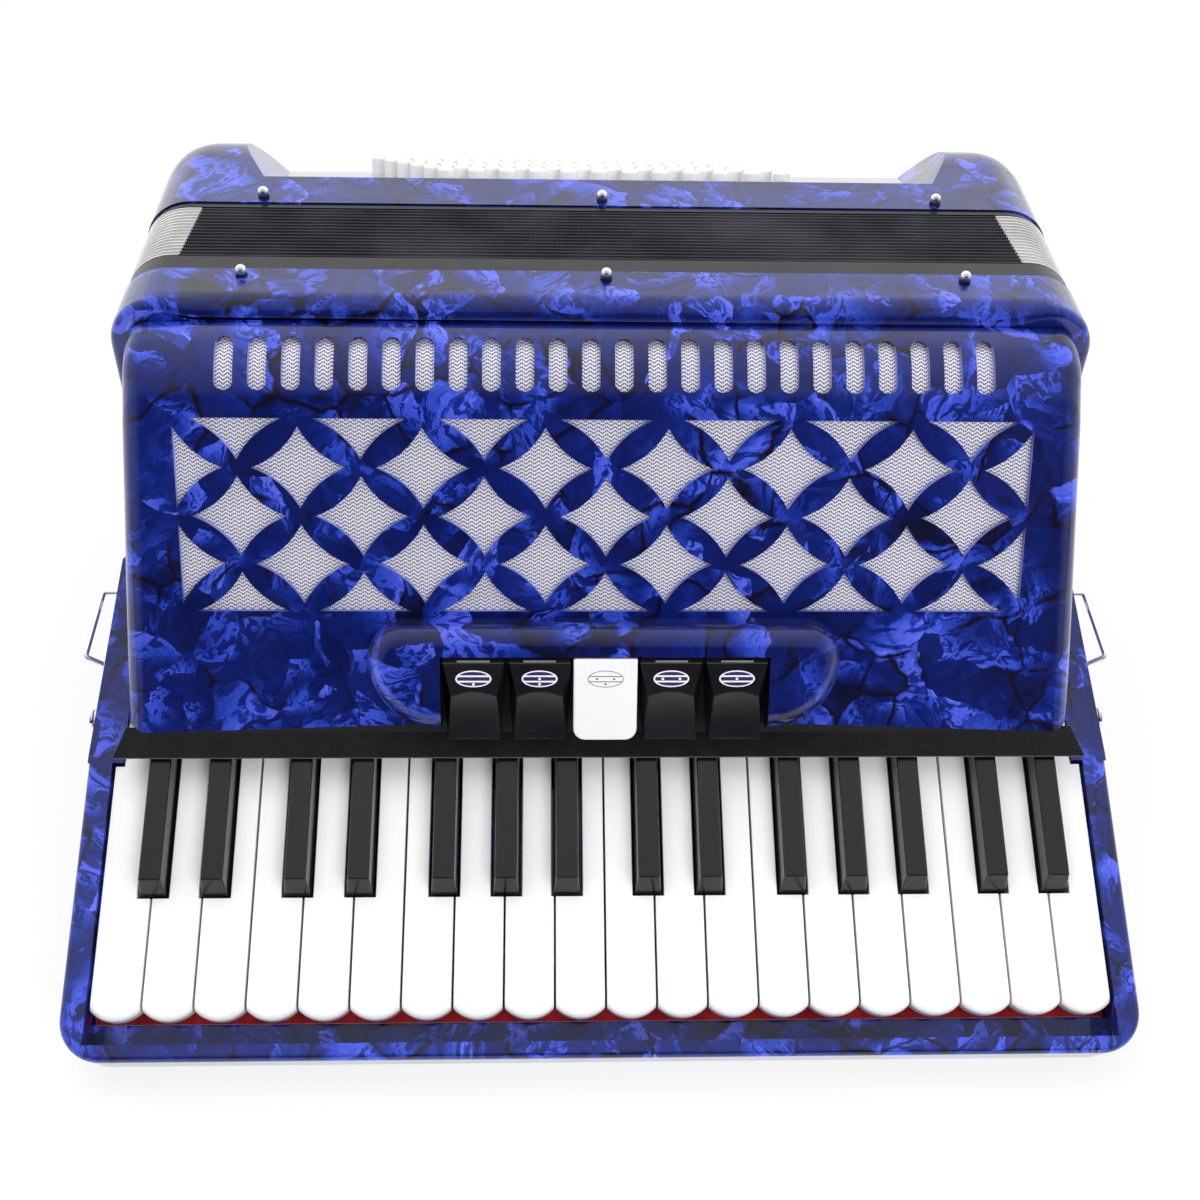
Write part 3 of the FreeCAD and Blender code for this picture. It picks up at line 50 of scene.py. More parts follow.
# the part stands on its back; lengths in the dictionaries are millimetres and slopes are degrees
stand = {"lineY": -85.989, "lineZ": 64.0, "keySlope": 25.3}  # the line where the white keys leave the felt
front = {"y": 0.9, "z": 13.7, "slope": 62.7}  # the face of the grille cover
plate = {"y": 178.3, "z": 146.7, "slope": -21.0}  # the face of the button plate
side = {"half": 198.0, "taper": 4.5, "over": 74.5}  # the case narrows towards the bellows


def at(x=0, y=0, z=0):
    return Matrix.Translation((x * mm, y * mm, z * mm))


def turned(angle, axis):
    return Matrix.Rotation(math.radians(angle), 4, axis)


def standing(y=0, z=0, slope=0):
    # a plane of the instrument: its foot behind and above the strip line, and its slope
    return at(0, stand["lineY"] + y, stand["lineZ"] + z) @ turned(slope, "X")


upright = standing()
keyPlane = standing(slope=stand["keySlope"])
facePlane = standing(**front)
platePlane = standing(**plate)


# small helpers

def takeUp(piece=None):
    # object mode with only this piece selected, or nothing
    if bpy.context.mode != "OBJECT":
        bpy.ops.object.mode_set(mode="OBJECT")
    bpy.ops.object.select_all(action="DESELECT")
    if piece:
        piece.select_set(True)
        bpy.context.view_layer.objects.active = piece


def edit(piece):
    takeUp(piece)
    bpy.ops.object.mode_set(mode="EDIT")


def leave():
    bpy.ops.object.mode_set(mode="OBJECT")


def pick(kind, test):
    # in edit mode: select the faces, edges or corners that pass the test
    bpy.ops.mesh.select_mode(type=kind)
    bpy.ops.mesh.select_all(action="DESELECT")
    mesh = bmesh.from_edit_mesh(bpy.context.object.data)
    mesh.normal_update()
    for one in {"FACE": mesh.faces, "EDGE": mesh.edges, "VERT": mesh.verts}[kind]:
        if test(one):
            one.select_set(True)
    bmesh.update_edit_mesh(bpy.context.object.data)


def cut(point, normal):
    # in edit mode: divide the faces along a plane
    bpy.ops.mesh.select_all(action="SELECT")
    bpy.ops.mesh.bisect(plane_co=point, plane_no=normal)


def move(y=0, z=0):
    bpy.ops.transform.translate(value=(0, y * mm, z * mm))


def raiseTop(inset, rise):
    # in edit mode: inset the top face and lift it
    pick("FACE", lambda face: face.normal.z > 0.9 and len(face.verts) > 8)
    bpy.ops.mesh.inset(thickness=inset * mm)
    move(z=rise)


def middle(one):
    return sum((corner.co for corner in one.verts), Vector()) / len(one.verts)


def along(edge, axis):
    # is this edge parallel to the axis
    run = edge.verts[1].co - edge.verts[0].co
    return abs(run.normalized().dot(Vector(axis))) > 0.99


def fresh(add, name, **sizes):
    # a new primitive
    takeUp()
    add(**sizes)
    piece = bpy.context.object
    piece.name = name
    return piece


def block(name, low, high):
    # a cube between two corners, in millimetres of the plane that it is modelled in
    size = [(b - a) * mm for a, b in zip(low, high)]
    centre = [(a + b) / 2 * mm for a, b in zip(low, high)]
    piece = fresh(bpy.ops.mesh.primitive_cube_add, name, size=1, location=centre)
    piece.scale = size
    bpy.ops.object.transform_apply(location=True, rotation=True, scale=True)
    return piece


def disc(name, radius, low, high, sides=32):
    # a round bar along Z
    piece = fresh(bpy.ops.mesh.primitive_cylinder_add, name, vertices=sides, radius=radius * mm,
                  depth=(high - low) * mm, location=(0, 0, (low + high) / 2 * mm))
    bpy.ops.object.transform_apply(location=True, rotation=True, scale=True)
    return piece


def ball(name, radii, segments, rings):
    piece = fresh(bpy.ops.mesh.primitive_uv_sphere_add, name, segments=segments, ring_count=rings, radius=1)
    piece.data.transform(Matrix.Diagonal((*[radius * mm for radius in radii], 1)))
    return piece


def modify(piece, kind, **settings):
    takeUp(piece)
    modifier = piece.modifiers.new(kind, kind)
    for name, setting in settings.items():
        setattr(modifier, name, setting)
    bpy.ops.object.modifier_apply(modifier=modifier.name)


def carve(piece, tool):
    modify(piece, "BOOLEAN", operation="DIFFERENCE", object=tool)
    bpy.data.objects.remove(tool)


def soften(piece, width, segments=3, angle=40):
    modify(piece, "BEVEL", width=width * mm, segments=segments, limit_method="ANGLE",
           angle_limit=math.radians(angle), harden_normals=False)


def smooth(piece, angle=35):
    # smooth shading in which large flat faces stay flat
    takeUp(piece)
    bpy.ops.object.shade_smooth_by_angle(angle=math.radians(angle))
    modify(piece, "WEIGHTED_NORMAL", weight=100, keep_sharp=True)


plane = {"area": 150.0, "width": 6.5}  # from here on a plane counts as flat


def flatPlanes(mesh):
    # for each face, the area of the plane it lies in, or 0 where that plane is small or narrow
    planes = {}
    for face in mesh.polygons:
        normal = face.normal
        key = (*[round(value, 2) for value in normal], round(normal.dot(face.center) / mm))
        planes.setdefault(key, []).append(face)
    area = [0.0] * len(mesh.polygons)
    for faces in planes.values():
        whole = sum(face.area for face in faces)
        spots = [mesh.vertices[corner].co for face in faces for corner in face.vertices]
        low, high = [Vector(end(spot[n] for spot in spots) for n in range(3)) for end in (min, max)]
        if whole > plane["area"] * mm * mm and whole / (high - low).length > plane["width"] * mm:
            for face in faces:
                area[face.index] = whole
    return area


def levelNormals(piece, angle):
    # smooth shading in which rounded edges run out evenly into the flat faces beside them
    mesh = piece.data
    takeUp(piece)
    bpy.ops.object.shade_smooth_by_angle(angle=math.radians(angle))
    area = flatPlanes(mesh)
    faces = [(face.normal.copy(), face.area) for face in mesh.polygons]
    around = [[] for vertex in mesh.vertices]
    for face in mesh.polygons:
        for corner in face.vertices:
            around[corner].append(face.index)
    limit = math.cos(math.radians(angle))
    normals = []
    for face in mesh.polygons:
        own = face.index
        for corner in face.vertices:
            near = [n for n in around[corner] if faces[n][0].dot(faces[own][0]) > limit]
            first = own if area[own] else max(near, key=lambda n: area[n], default=own)
            if area[first] or not near:
                normals.append(faces[first][0])
            else:
                normals.append(sum((faces[n][0] * faces[n][1] for n in near), Vector()).normalized())
    mesh.normals_split_custom_set(normals)


def settle(piece, place):
    # put the finished mesh where it belongs, with the object itself at the origin
    piece.data.transform(place @ piece.matrix_world)
    piece.matrix_world = Matrix.Identity(4)
    return piece


def twin(mesh, name, place):
    copy = bpy.data.objects.new(name, mesh.copy())
    bpy.context.collection.objects.link(copy)
    return settle(copy, place)


def gather(name, *parts):
    # join parts into one piece
    takeUp(parts[0])
    for part in parts[1:]:
        part.select_set(True)
    bpy.ops.object.join()
    parts[0].name = name
    return parts[0]


def merge():
    bpy.ops.mesh.remove_doubles(threshold=2 * hair * mm)


def outward(piece, merged=True):
    edit(piece)
    bpy.ops.mesh.select_all(action="SELECT")
    if merged:
        merge()
    bpy.ops.mesh.normals_make_consistent(inside=False)
    leave()


def dress(piece, *coats):
    piece.data.materials.clear()
    for coat in coats:
        piece.data.materials.append(coat)


def give(piece, coat, body=None, node=None):
    # a piece's coat, its slot, the body it moves with and the node it stands for
    dress(piece, coat)
    if body:
        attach(piece, body)
    if node:
        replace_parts(piece, node)


def complete(piece, place, angle, coat, body=None, node=None):
    smooth(piece, angle)
    settle(piece, place)
    give(piece, coat, body, node)


def ease(piece, ends, cuts, drop):
    # lower parts of a solid by a rule, with cuts for it to bend at
    edit(piece)
    for x in ends:
        cut((x * mm, 0, 0), (1, 0, 0))
    for y in cuts:
        cut(standing(y) @ Vector(), (0, 1, 0))
    leave()
    back = upright.inverted()
    for vertex in piece.data.vertices:
        vertex.co.z -= drop(back @ vertex.co / mm) * mm
    piece.data.update()


def fromCad(node, name, coat, angle=35, eased=None):
    # a smooth-shaded copy of a CAD node, its loose triangles merged
    piece = twin(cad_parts[node].data, name, Matrix.Identity(4))
    edit(piece)
    bpy.ops.mesh.select_all(action="SELECT")
    merge()
    leave()
    if eased:
        ease(piece, *eased)
    levelNormals(piece, angle)
    near = "bass_side" if node.startswith("bass") else "treble_side"
    give(piece, coat, node if "_key_" in node else near, node)
    return piece


# shader nodes

class Value:
    # an output of a shader node, which plain arithmetic can use

    def __init__(self, socket):
        self.socket = socket

    def __getitem__(self, name):
        # another output of the same node
        return Value(self.socket.node.outputs[name])

    def __add__(self, other):
        return sums("ADD", self, other)

    def __sub__(self, other):
        return sums("SUBTRACT", self, other)

    def __mul__(self, other):
        return sums("MULTIPLY", self, other)

    def __truediv__(self, other):
        return sums("DIVIDE", self, other)

    def __abs__(self):
        return sums("ABSOLUTE", self)


def feed(node, values):
    # link or set a node's sockets
    for key, value in values.items():
        if isinstance(value, Value):
            node.id_data.links.new(value.socket, node.inputs[key])
        else:
            node.inputs[key].default_value = value


def put(kind, values, out=0, **settings):
    # an output of a new node, which joins the tree of the values that feed it
    tree = next(value.socket.id_data for value in values.values() if isinstance(value, Value))
    node = tree.nodes.new(kind)
    for name, setting in settings.items():
        setattr(node, name, setting)
    feed(node, values)
    return Value(node.outputs[out])


def sums(operation, *values):
    # a sum of numbers, or of vectors where a node gives one
    inSpace = any(isinstance(value, Value) and value.socket.type != "VALUE" for value in values)
    kind = "ShaderNodeVectorMath" if inSpace else "ShaderNodeMath"
    return put(kind, dict(enumerate(values)), int(operation == "DOT_PRODUCT"), operation=operation)


def spread(value, low, high, outLow=0.0, outHigh=1.0, soft=False):
    ends = {"Value": value, "From Min": low, "From Max": high, "To Min": outLow, "To Max": outHigh}
    return put("ShaderNodeMapRange", ends, interpolation_type="SMOOTHSTEP" if soft else "LINEAR")


def ramp(value, *stops):
    colour = put("ShaderNodeValToRGB", {0: value})
    marks = colour.socket.node.color_ramp.elements
    while len(marks) < len(stops):
        marks.new(0.5)
    for mark, (place, shade) in zip(marks, stops):
        mark.position = place
        mark.color = (*shade, 1)
    return colour


def mixed(share, first, second):
    return put("ShaderNodeMix", {0: share, 2: first, 3: second})


def blended(share, first, second):
    return put("ShaderNodeMix", {0: share, 6: first, 7: second}, 2, data_type="RGBA")


def noise(spot, scale, detail=2.0, rough=0.5, bent=0.0, out="Fac"):
    values = {"Vector": spot, "Scale": scale, "Detail": detail, "Roughness": rough, "Distortion": bent}
    return put("ShaderNodeTexNoise", values, out)


def cells(spot, scale, out, **settings):
    values = {"Vector": spot, "Scale": scale, "Randomness": 1.0}
    return put("ShaderNodeTexVoronoi", values, out, **settings)


def stretched(spot, scale, turn=(0, 0, 0)):
    return put("ShaderNodeMapping", {"Vector": spot, "Scale": scale, "Rotation": turn})


def raised(height, strength, deep):
    return put("ShaderNodeBump", {"Height": height, "Strength": strength, "Distance": deep * mm})


def newGroup(name, inputs, outputs):
    group = bpy.data.node_groups.new(name, "ShaderNodeTree")
    for way, labels in (("INPUT", inputs), ("OUTPUT", outputs)):
        for label, kind in labels.items():
            group.interface.new_socket(name=label, in_out=way, socket_type="NodeSocket" + kind)
    return group, Value(group.nodes.new("NodeGroupInput").outputs[0]), group.nodes.new("NodeGroupOutput")


def newFinish(name, **plain):
    # a material, its shader with the constant sockets set, and the object's coordinates
    coat = bpy.data.materials.new(name)
    coat.use_nodes = True
    shader = coat.node_tree.nodes["Principled BSDF"]
    feed(shader, {key.replace("_", " "): value for key, value in plain.items()})
    return coat, shader, Value(coat.node_tree.nodes.new("ShaderNodeTexCoord").outputs["Object"])


def paint(shader, colour, rough, normal):
    feed(shader, {"Base Color": colour, "Roughness": rough, "Normal": normal})


# finishes

# texture scales, in waves or cells to the metre
grain = {"smudge": 38.0, "scratch": (90, 900, 900), "drift": 14.0, "brush": (60, 4000, 4000), "nap": 900.0,
         "tufts": 130.0, "threads": 420.0, "dust": 30.0, "pores": 700.0, "creases": 90.0,
         "wood": (8, 120, 120), "wobble": 180.0, "strands": 2200.0}
# how deep the reliefs are
relief = {"pearl": 3.0, "plastic": 0.1, "metal": 0.05, "brushed": 0.04, "felt": 0.6, "cloth": 0.1,
          "leather": 0.25, "wood": 0.2, "weave": 0.3}
centred = (0.5, 0.5, 0.5)


def makeWear():
    # smudges and hairline scratches of handled plastic and metal
    group, given, result = newGroup("handledSurface",
                                    {"Vector": "Vector", "Low": "Float", "High": "Float", "Scratch": "Float"},
                                    {"Roughness": "Float", "Height": "Float", "Smudge": "Float"})
    smudge = noise(given["Vector"], grain["smudge"], 4.0, 0.6)
    lines = noise(stretched(given["Vector"], grain["scratch"], (0.3, 0.7, 0.5)), 1.0)
    scratch = spread(lines, 0.66, 0.74) * given["Scratch"]
    rough = spread(smudge, 0.3, 0.7, given["Low"], given["High"]) + scratch * 0.25
    feed(result, {"Roughness": rough, "Height": scratch * -1.0, "Smudge": smudge})
    return group


wear = makeWear()


def handled(spot, low, high, scratch):
    values = {"Vector": spot, "Low": low, "High": high, "Scratch": scratch}
    return put("ShaderNodeGroup", values, node_tree=wear)


pearl = {
    "cell": 27.0,  # facet size
    "bend": 0.5,  # how far the facet borders bend, and how ragged they are, in facets
    "rag": 0.09,
    "vein": 0.018,
    "veinColour": (0.003, 0.001, 0.012, 1),
    "wisp": (4.6, 1.5, 4.6),  # how the wisps in a facet are drawn out, and how far apart the facets take them
    "apart": (40, 40, 40),
    "deep": (1.0, (0, 0, 0)),  # scale and offset of both layers of facets
    "small": (1.8, (7.3, 2.1, 4.7)),
    "shades": [(0.05, (0.0012, 0.0024, 0.022)), (0.17, (0.0008, 0.0038, 0.056)),
               (0.27, (0.0007, 0.0060, 0.102)), (0.37, (0.0012, 0.0105, 0.150)),
               (0.43, (0.003, 0.016, 0.200)), (0.49, (0.007, 0.028, 0.30)), (0.57, (0.018, 0.055, 0.48)),
               (0.68, (0.050, 0.090, 0.68)), (0.86, (0.15, 0.19, 0.95))],
}


def flakes(spot, scale, offset):
    # one layer of facets: its level, which drifts from dark to light across each facet, and its chances
    moved = spot + offset
    cell = cells(moved, scale, "Color")
    chance = put("ShaderNodeSeparateXYZ", {0: cell})
    inside = moved - cell["Position"]
    tilt = sums("NORMALIZE", cell - centred)
    slope = sums("DOT_PRODUCT", inside, tilt) * scale
    turn = {"Vector": inside, "Axis": tilt, "Angle": chance["Z"] * 6.28}
    drawn = put("ShaderNodeVectorRotate", turn, rotation_type="AXIS_ANGLE")
    drawn = drawn * tuple(size * scale for size in pearl["wisp"])
    wisps = noise(drawn + cell * pearl["apart"], 1.0, 4.0, 0.55, 1.3)
    ridge = spread(abs(wisps - 0.53), 0.0, 0.095, 1.0, 0.0, soft=True)
    level = spread(chance["X"], 0.0, 1.0, 0.30, 0.43) + slope * 0.20 + (wisps - 0.5) * 0.45
    glow = ridge * spread(slope, -0.15, 0.4, 0.0, 0.23, soft=True)
    cloud = spread(wisps, 0.5, 0.72, soft=True) * spread(slope, 0.0, 0.45, 0.0, 0.27, soft=True)
    edges = cells(moved, scale, "Distance", feature="DISTANCE_TO_EDGE")
    return level + (glow + cloud), slope, chance["Y"], edges


def makePearl():
    # blue celluloid with pearl facets, two layers deep, and thin cracks between them
    group, given, result = newGroup("pearlFacets", {"Vector": "Vector", "Cell": "Float"},
                                    {"Color": "Color", "Height": "Float", "Vein": "Float"})
    scaled = given["Vector"] / given["Cell"]
    spot = scaled
    for scale, detail, reach in ((0.8, 1.0, pearl["bend"]), (3.4, 3.0, pearl["rag"])):
        spot = spot + (noise(scaled, scale, detail, out="Color") - centred) * ((reach * 2,) * 3)
    deep, deepSlope, _, deepEdges = flakes(spot, *pearl["deep"])
    small, smallSlope, chance, _ = flakes(spot, *pearl["small"])
    # the small facets lie over the large ones and melt into them at their low side
    upper = spread(chance, 0.45, 0.50) * spread(smallSlope, -0.4, 0.05, soft=True)
    where = noise(scaled, 0.9, 3.0, bent=0.8)
    tone = mixed(upper, deep, small) - spread(where, 0.58, 0.70, 0.0, 0.26, soft=True)
    line = spread(deepEdges, pearl["vein"] * 0.3, pearl["vein"] * 2.6, 1.0, 0.0, soft=True)
    line = line * spread(where, 0.44, 0.56, soft=True)
    colour = blended(line, ramp(tone, *pearl["shades"]), pearl["veinColour"])
    feed(result, {"Color": colour, "Vein": line, "Height": mixed(upper, deepSlope, smallSlope)})
    return group


pearlFacets = makePearl()


def makePearloid():
    coat, shader, spot = newFinish("bluePearloid", Metallic=0.3, Coat_Weight=1.0, Coat_Roughness=0.05,
                                   Coat_IOR=1.45, IOR=1.4)
    facets = put("ShaderNodeGroup", {"Vector": spot}, node_tree=pearlFacets)
    feed(facets.socket.node, {"Cell": pearl["cell"] * mm})
    paint(shader, facets["Color"], handled(spot, 0.3, 0.42, 0.3)["Roughness"],
          raised(facets["Height"], 0.22, relief["pearl"]))
    return coat


def plastic(name, dark, light, low, high, scratch, **plain):
    # moulded plastic: a slight drift of tone, smudges and hairlines
    coat, shader, spot = newFinish(name, **plain)
    worn = handled(spot, low, high, scratch)
    paint(shader, ramp(noise(spot, grain["drift"], 3.0), (0.3, dark), (0.7, light)), worn["Roughness"],
          raised(worn["Height"], 0.3, relief["plastic"]))
    return coat


def metal(name, dark, light, low, high):
    coat, shader, spot = newFinish(name, Metallic=1.0)
    worn = handled(spot, low, high, 0.5)
    paint(shader, ramp(worn["Smudge"], (0.35, light), (0.75, dark)), worn["Roughness"],
          raised(worn["Height"], 0.3, relief["metal"]))
    return coat


def makeBrushed():
    # the silver plate under the buttons, brushed along its length
    coat, shader, spot = newFinish("brushedPlate", Metallic=0.85)
    lines = noise(stretched(spot, grain["brush"]), 1.0, 3.0)
    paint(shader, ramp(lines, (0.3, (0.60, 0.61, 0.63)), (0.7, (0.80, 0.81, 0.83))),
          spread(lines, 0.3, 0.7, 0.26, 0.42), raised(lines, 0.25, relief["brushed"]))
    return coat


def felt(name, dark, light):
    coat, shader, spot = newFinish(name, Sheen_Weight=0.35, Sheen_Roughness=0.5, Specular_IOR_Level=0.15)
    tufts = noise(spot, grain["tufts"], 3.0)
    mix = (noise(spot, grain["nap"], 5.0, 0.7, 1.5) + tufts) * 0.5
    paint(shader, ramp(mix, (0.38, dark), (0.62, light)), spread(tufts, 0.2, 0.8, 0.85, 1.0),
          raised(mix, 0.8, relief["felt"]))
    return coat


def makeBellowsCloth():
    # black bookbinder's cloth on the folds
    coat, shader, spot = newFinish("bellowsCloth", Specular_IOR_Level=0.35)
    threads = {"Vector": spot, "Scale": grain["threads"], "Distortion": 0.6}
    across, up = [put("ShaderNodeTexWave", threads, "Fac", bands_direction=way) for way in "XZ"]
    woven = across * up
    dust = noise(spot, grain["dust"], 5.0)
    paint(shader, ramp(woven * 0.4 + dust * 0.6, (0.25, (0.010, 0.010, 0.013)), (0.7, (0.085, 0.087, 0.104))),
          spread(dust, 0.3, 0.7, 0.5, 0.68), raised(woven, 0.4, relief["cloth"]))
    return coat


def makeLeather():
    coat, shader, spot = newFinish("strapLeather", Specular_IOR_Level=0.5)
    pores = cells(spot, grain["pores"], "Distance", feature="DISTANCE_TO_EDGE")
    creases = noise(spot, grain["creases"], 5.0, 0.6)
    skin = spread(pores, 0.0, 0.18) + creases * 0.8
    paint(shader, ramp(creases, (0.3, (0.010, 0.009, 0.009)), (0.7, (0.030, 0.027, 0.026))),
          spread(skin, 0.4, 1.4, 0.62, 0.38), raised(skin, 0.5, relief["leather"]))
    return coat


def makeWood():
    coat, shader, spot = newFinish("reedWood")
    rings = noise(stretched(spot, grain["wood"]), 1.0, 6.0, 0.65, 0.6)
    paint(shader, ramp(rings, (0.3, (0.30, 0.17, 0.08)), (0.7, (0.55, 0.37, 0.20))),
          spread(rings, 0.3, 0.7, 0.5, 0.7), raised(rings, 0.3, relief["wood"]))
    return coat


weave = {"period": 3.1, "row": 1.42, "swing": 0.9, "dots": 4.0}


def makeGrilleCloth():
    # woven metal thread: dotted zigzag rows between pale raised bands; UV in metres
    coat, shader, spot = newFinish("zigzagCloth", Metallic=0.25, Specular_IOR_Level=0.6)
    flat = put("ShaderNodeSeparateXYZ", {0: spot["UV"]})
    wobble = noise(spot["UV"], grain["wobble"])
    across = flat["X"] / (weave["period"] * mm) + wobble * 0.12
    up = flat["Y"] / (weave["row"] * mm) + sums("PINGPONG", across, 0.5) * (weave["swing"] * 2) + wobble * 0.2
    groove = spread(abs(sums("FRACT", up) - 0.5), 0.10, 0.30, 1.0, 0.0, soft=True)
    beads = abs(sums("FRACT", across * weave["dots"]) - 0.5)
    hole = spread(beads, 0.16, 0.40, 1.0, 0.0, soft=True) * groove
    strands = noise(spot["UV"], grain["strands"])
    tone = sums("SUBTRACT", 0.95, groove * 0.26) - hole * 1.3 + (strands - 0.5) * 0.22
    colour = ramp(tone, (0.08, (0.05, 0.05, 0.08)), (0.5, (0.33, 0.33, 0.40)), (0.92, (0.80, 0.78, 0.88)))
    height = sums("SUBTRACT", 1.0, groove + hole)
    paint(shader, colour, spread(groove, 0.0, 1.0, 0.36, 0.7), raised(height, 0.45, relief["weave"]))
    return coat


bluePearloid = makePearloid()
# the side walls of the cover's openings: a lighter blue that is a painted highlight of the light their cut
# edges catch
openingEdgeHighlight = plastic("paintedEdgeHighlight", (0.10, 0.12, 0.42), (0.30, 0.32, 0.62), 0.3, 0.5, 0.2)
recessBlack = plastic("recessBlack", (0.002, 0.002, 0.002), (0.006, 0.006, 0.007), 0.5, 0.7, 0.1)
whiteKeyPlastic = plastic("whiteKeyPlastic", (0.78, 0.78, 0.78), (0.84, 0.84, 0.84), 0.10, 0.22, 0.5,
                          Coat_Weight=0.3, Coat_Roughness=0.05)
blackKeyPlastic = plastic("blackKeyPlastic", (0.003, 0.003, 0.0035), (0.007, 0.007, 0.008), 0.10, 0.24, 0.6)
switchBlack = plastic("switchBlack", (0.006, 0.006, 0.008), (0.012, 0.012, 0.015), 0.14, 0.26, 0.4)
switchWhite = plastic("switchWhite", (0.74, 0.74, 0.75), (0.80, 0.80, 0.81), 0.18, 0.3, 0.2)
markWhite = plastic("markWhite", (0.72, 0.72, 0.82), (0.84, 0.84, 0.92), 0.4, 0.5, 0.1)
markNavy = plastic("markNavy", (0.012, 0.010, 0.06), (0.03, 0.026, 0.11), 0.35, 0.5, 0.1)
markGrey = plastic("markGrey", (0.03, 0.03, 0.06), (0.06, 0.06, 0.10), 0.4, 0.5, 0.1)
buttonPlastic = plastic("buttonPlastic", (0.80, 0.80, 0.80), (0.87, 0.87, 0.87), 0.14, 0.26, 0.3)
blackLacquer = plastic("blackLacquer", (0.003, 0.003, 0.0035), (0.008, 0.008, 0.009), 0.2, 0.35, 0.5)
airPlastic = plastic("airButtonPlastic", (0.80, 0.80, 0.80), (0.87, 0.87, 0.87), 0.14, 0.26, 0.3)
washerBlack = plastic("washerBlack", (0.004, 0.004, 0.004), (0.012, 0.012, 0.012), 0.5, 0.7, 0.1)
chrome = metal("chrome", (0.72, 0.73, 0.75), (0.90, 0.90, 0.91), 0.05, 0.14)
nickelSilver = metal("nickelSilver", (0.74, 0.73, 0.72), (0.88, 0.87, 0.86), 0.32, 0.48)
blackSteel = metal("blackenedSteel", (0.008, 0.008, 0.009), (0.02, 0.02, 0.022), 0.35, 0.5)
steel = metal("steel", (0.42, 0.42, 0.43), (0.62, 0.62, 0.63), 0.25, 0.4)
threadGrey = felt("stitchThread", (0.20, 0.20, 0.20), (0.42, 0.41, 0.40))
brushedPlate = makeBrushed()
blackFelt = felt("blackFelt", (0.001, 0.001, 0.002), (0.007, 0.007, 0.008))
redFelt = felt("redFelt", (0.154, 0.003, 0.004), (0.350, 0.014, 0.015))
bellowsCloth = makeBellowsCloth()
strapLeather = makeLeather()
reedWood = makeWood()
zigzagCloth = makeGrilleCloth()
print("finishes made")


# keys

def makeKeys():
    for colour, coat in (("white", whiteKeyPlastic), ("black", blackKeyPlastic)):
        for node in sorted(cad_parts):
            if node.startswith(f"{colour}_key"):
                fromCad(node, node.replace(f"{colour}_key_", f"{colour}Key"), coat)


makeKeys()
print("keys made")


# shells in pearloid

# half width, low end and high end of the cover's openings and of the switches' recess on its face
opening = {"lattice": (172, 48, 122), "slots": (152, 130, 170), "behind": -12, "square": 0.93}
recess = {"half": 61.9, "low": -6, "high": 34, "top": 10, "rimHalf": 61, "rim": 9.5}
# the cover's shoulder as it shows: one wide rounding that ends at the frame
shoulder = {"top": 143.0, "round": 30.0, "solidTop": 142.0, "solidRound": 16.0, "fadeLow": 95.0,
            "fadeHigh": 116.0, "cuts": [59.5, 60.6, 61.7, 78.4, 80.0, 81.6, 83.0]}
# the treble frame's front edge as it shows, rounder than the solid's
brow = {"near": 85.0, "top": 151.0, "round": 8.0, "solidRound": 3.5, "below": 0.1, "full": 150.0,
        "end": 168.0, "cuts": [89.5, 90.5, 91.5, 92.5]}


def paintFaces(piece, number, test):
    # give faces a second finish where their middle and normal, seen from the cover's face, pass the test
    back = facePlane.inverted()
    turn = back.to_3x3()
    for face in piece.data.polygons:
        if test(back @ face.center / mm, turn @ face.normal):
            face.material_index = number


def insideOpening(spot, normal):
    lattice, slots = [abs(spot.x) < half and low < spot.y < high
                      for half, low, high in (opening["lattice"], opening["slots"])]
    across = abs(normal.x) + (0 if slots else abs(normal.y))
    return (lattice or slots) and spot.z > opening["behind"] and across > opening["square"]


def insideRecess(spot, normal):
    r = recess
    within = abs(spot.x) < r["half"] and r["low"] < spot.y < r["high"] and spot.z < r["top"]
    return within and not (abs(spot.x) > r["rimHalf"] and spot.z > r["rim"])


def shoulderHub(top, radius):
    # how far behind the strip line the middle of the rounding is
    slope = math.radians(front["slope"])
    return front["y"] + (top - front["z"]) / math.tan(slope) + radius * math.tan(slope / 2)


def profileHeight(y, top, radius):
    # height of a rounded outline over a place behind the strip line
    slope = math.radians(front["slope"])
    hub = shoulderHub(top, radius)
    if y < hub - radius * math.sin(slope):
        return front["z"] + (y - front["y"]) * math.tan(slope)
    return top - radius + math.sqrt(radius ** 2 - min(0, y - hub) ** 2)


def shoulderDrop(spot):
    s = shoulder
    if spot.y <= s["cuts"][0]:
        return 0
    share = min(1, max(0, (spot.z - s["fadeLow"]) / (s["fadeHigh"] - s["fadeLow"])))
    solid = profileHeight(spot.y, s["solidTop"], s["solidRound"])
    return (solid - profileHeight(spot.y, s["top"], s["round"])) * share


def edgeHeight(y, radius):
    run = max(0, brow["near"] + radius - y)
    return brow["top"] - radius + math.sqrt(max(0, radius ** 2 - run ** 2))


def browDrop(spot):
    b = brow
    if spot.z <= b["top"] - b["solidRound"] - b["below"] or spot.y >= b["near"] + b["round"]:
        return 0
    share = min(1, max(0, (b["end"] - abs(spot.x)) / (b["end"] - b["full"])))
    return (edgeHeight(spot.y, b["solidRound"]) - edgeHeight(spot.y, b["round"])) * share


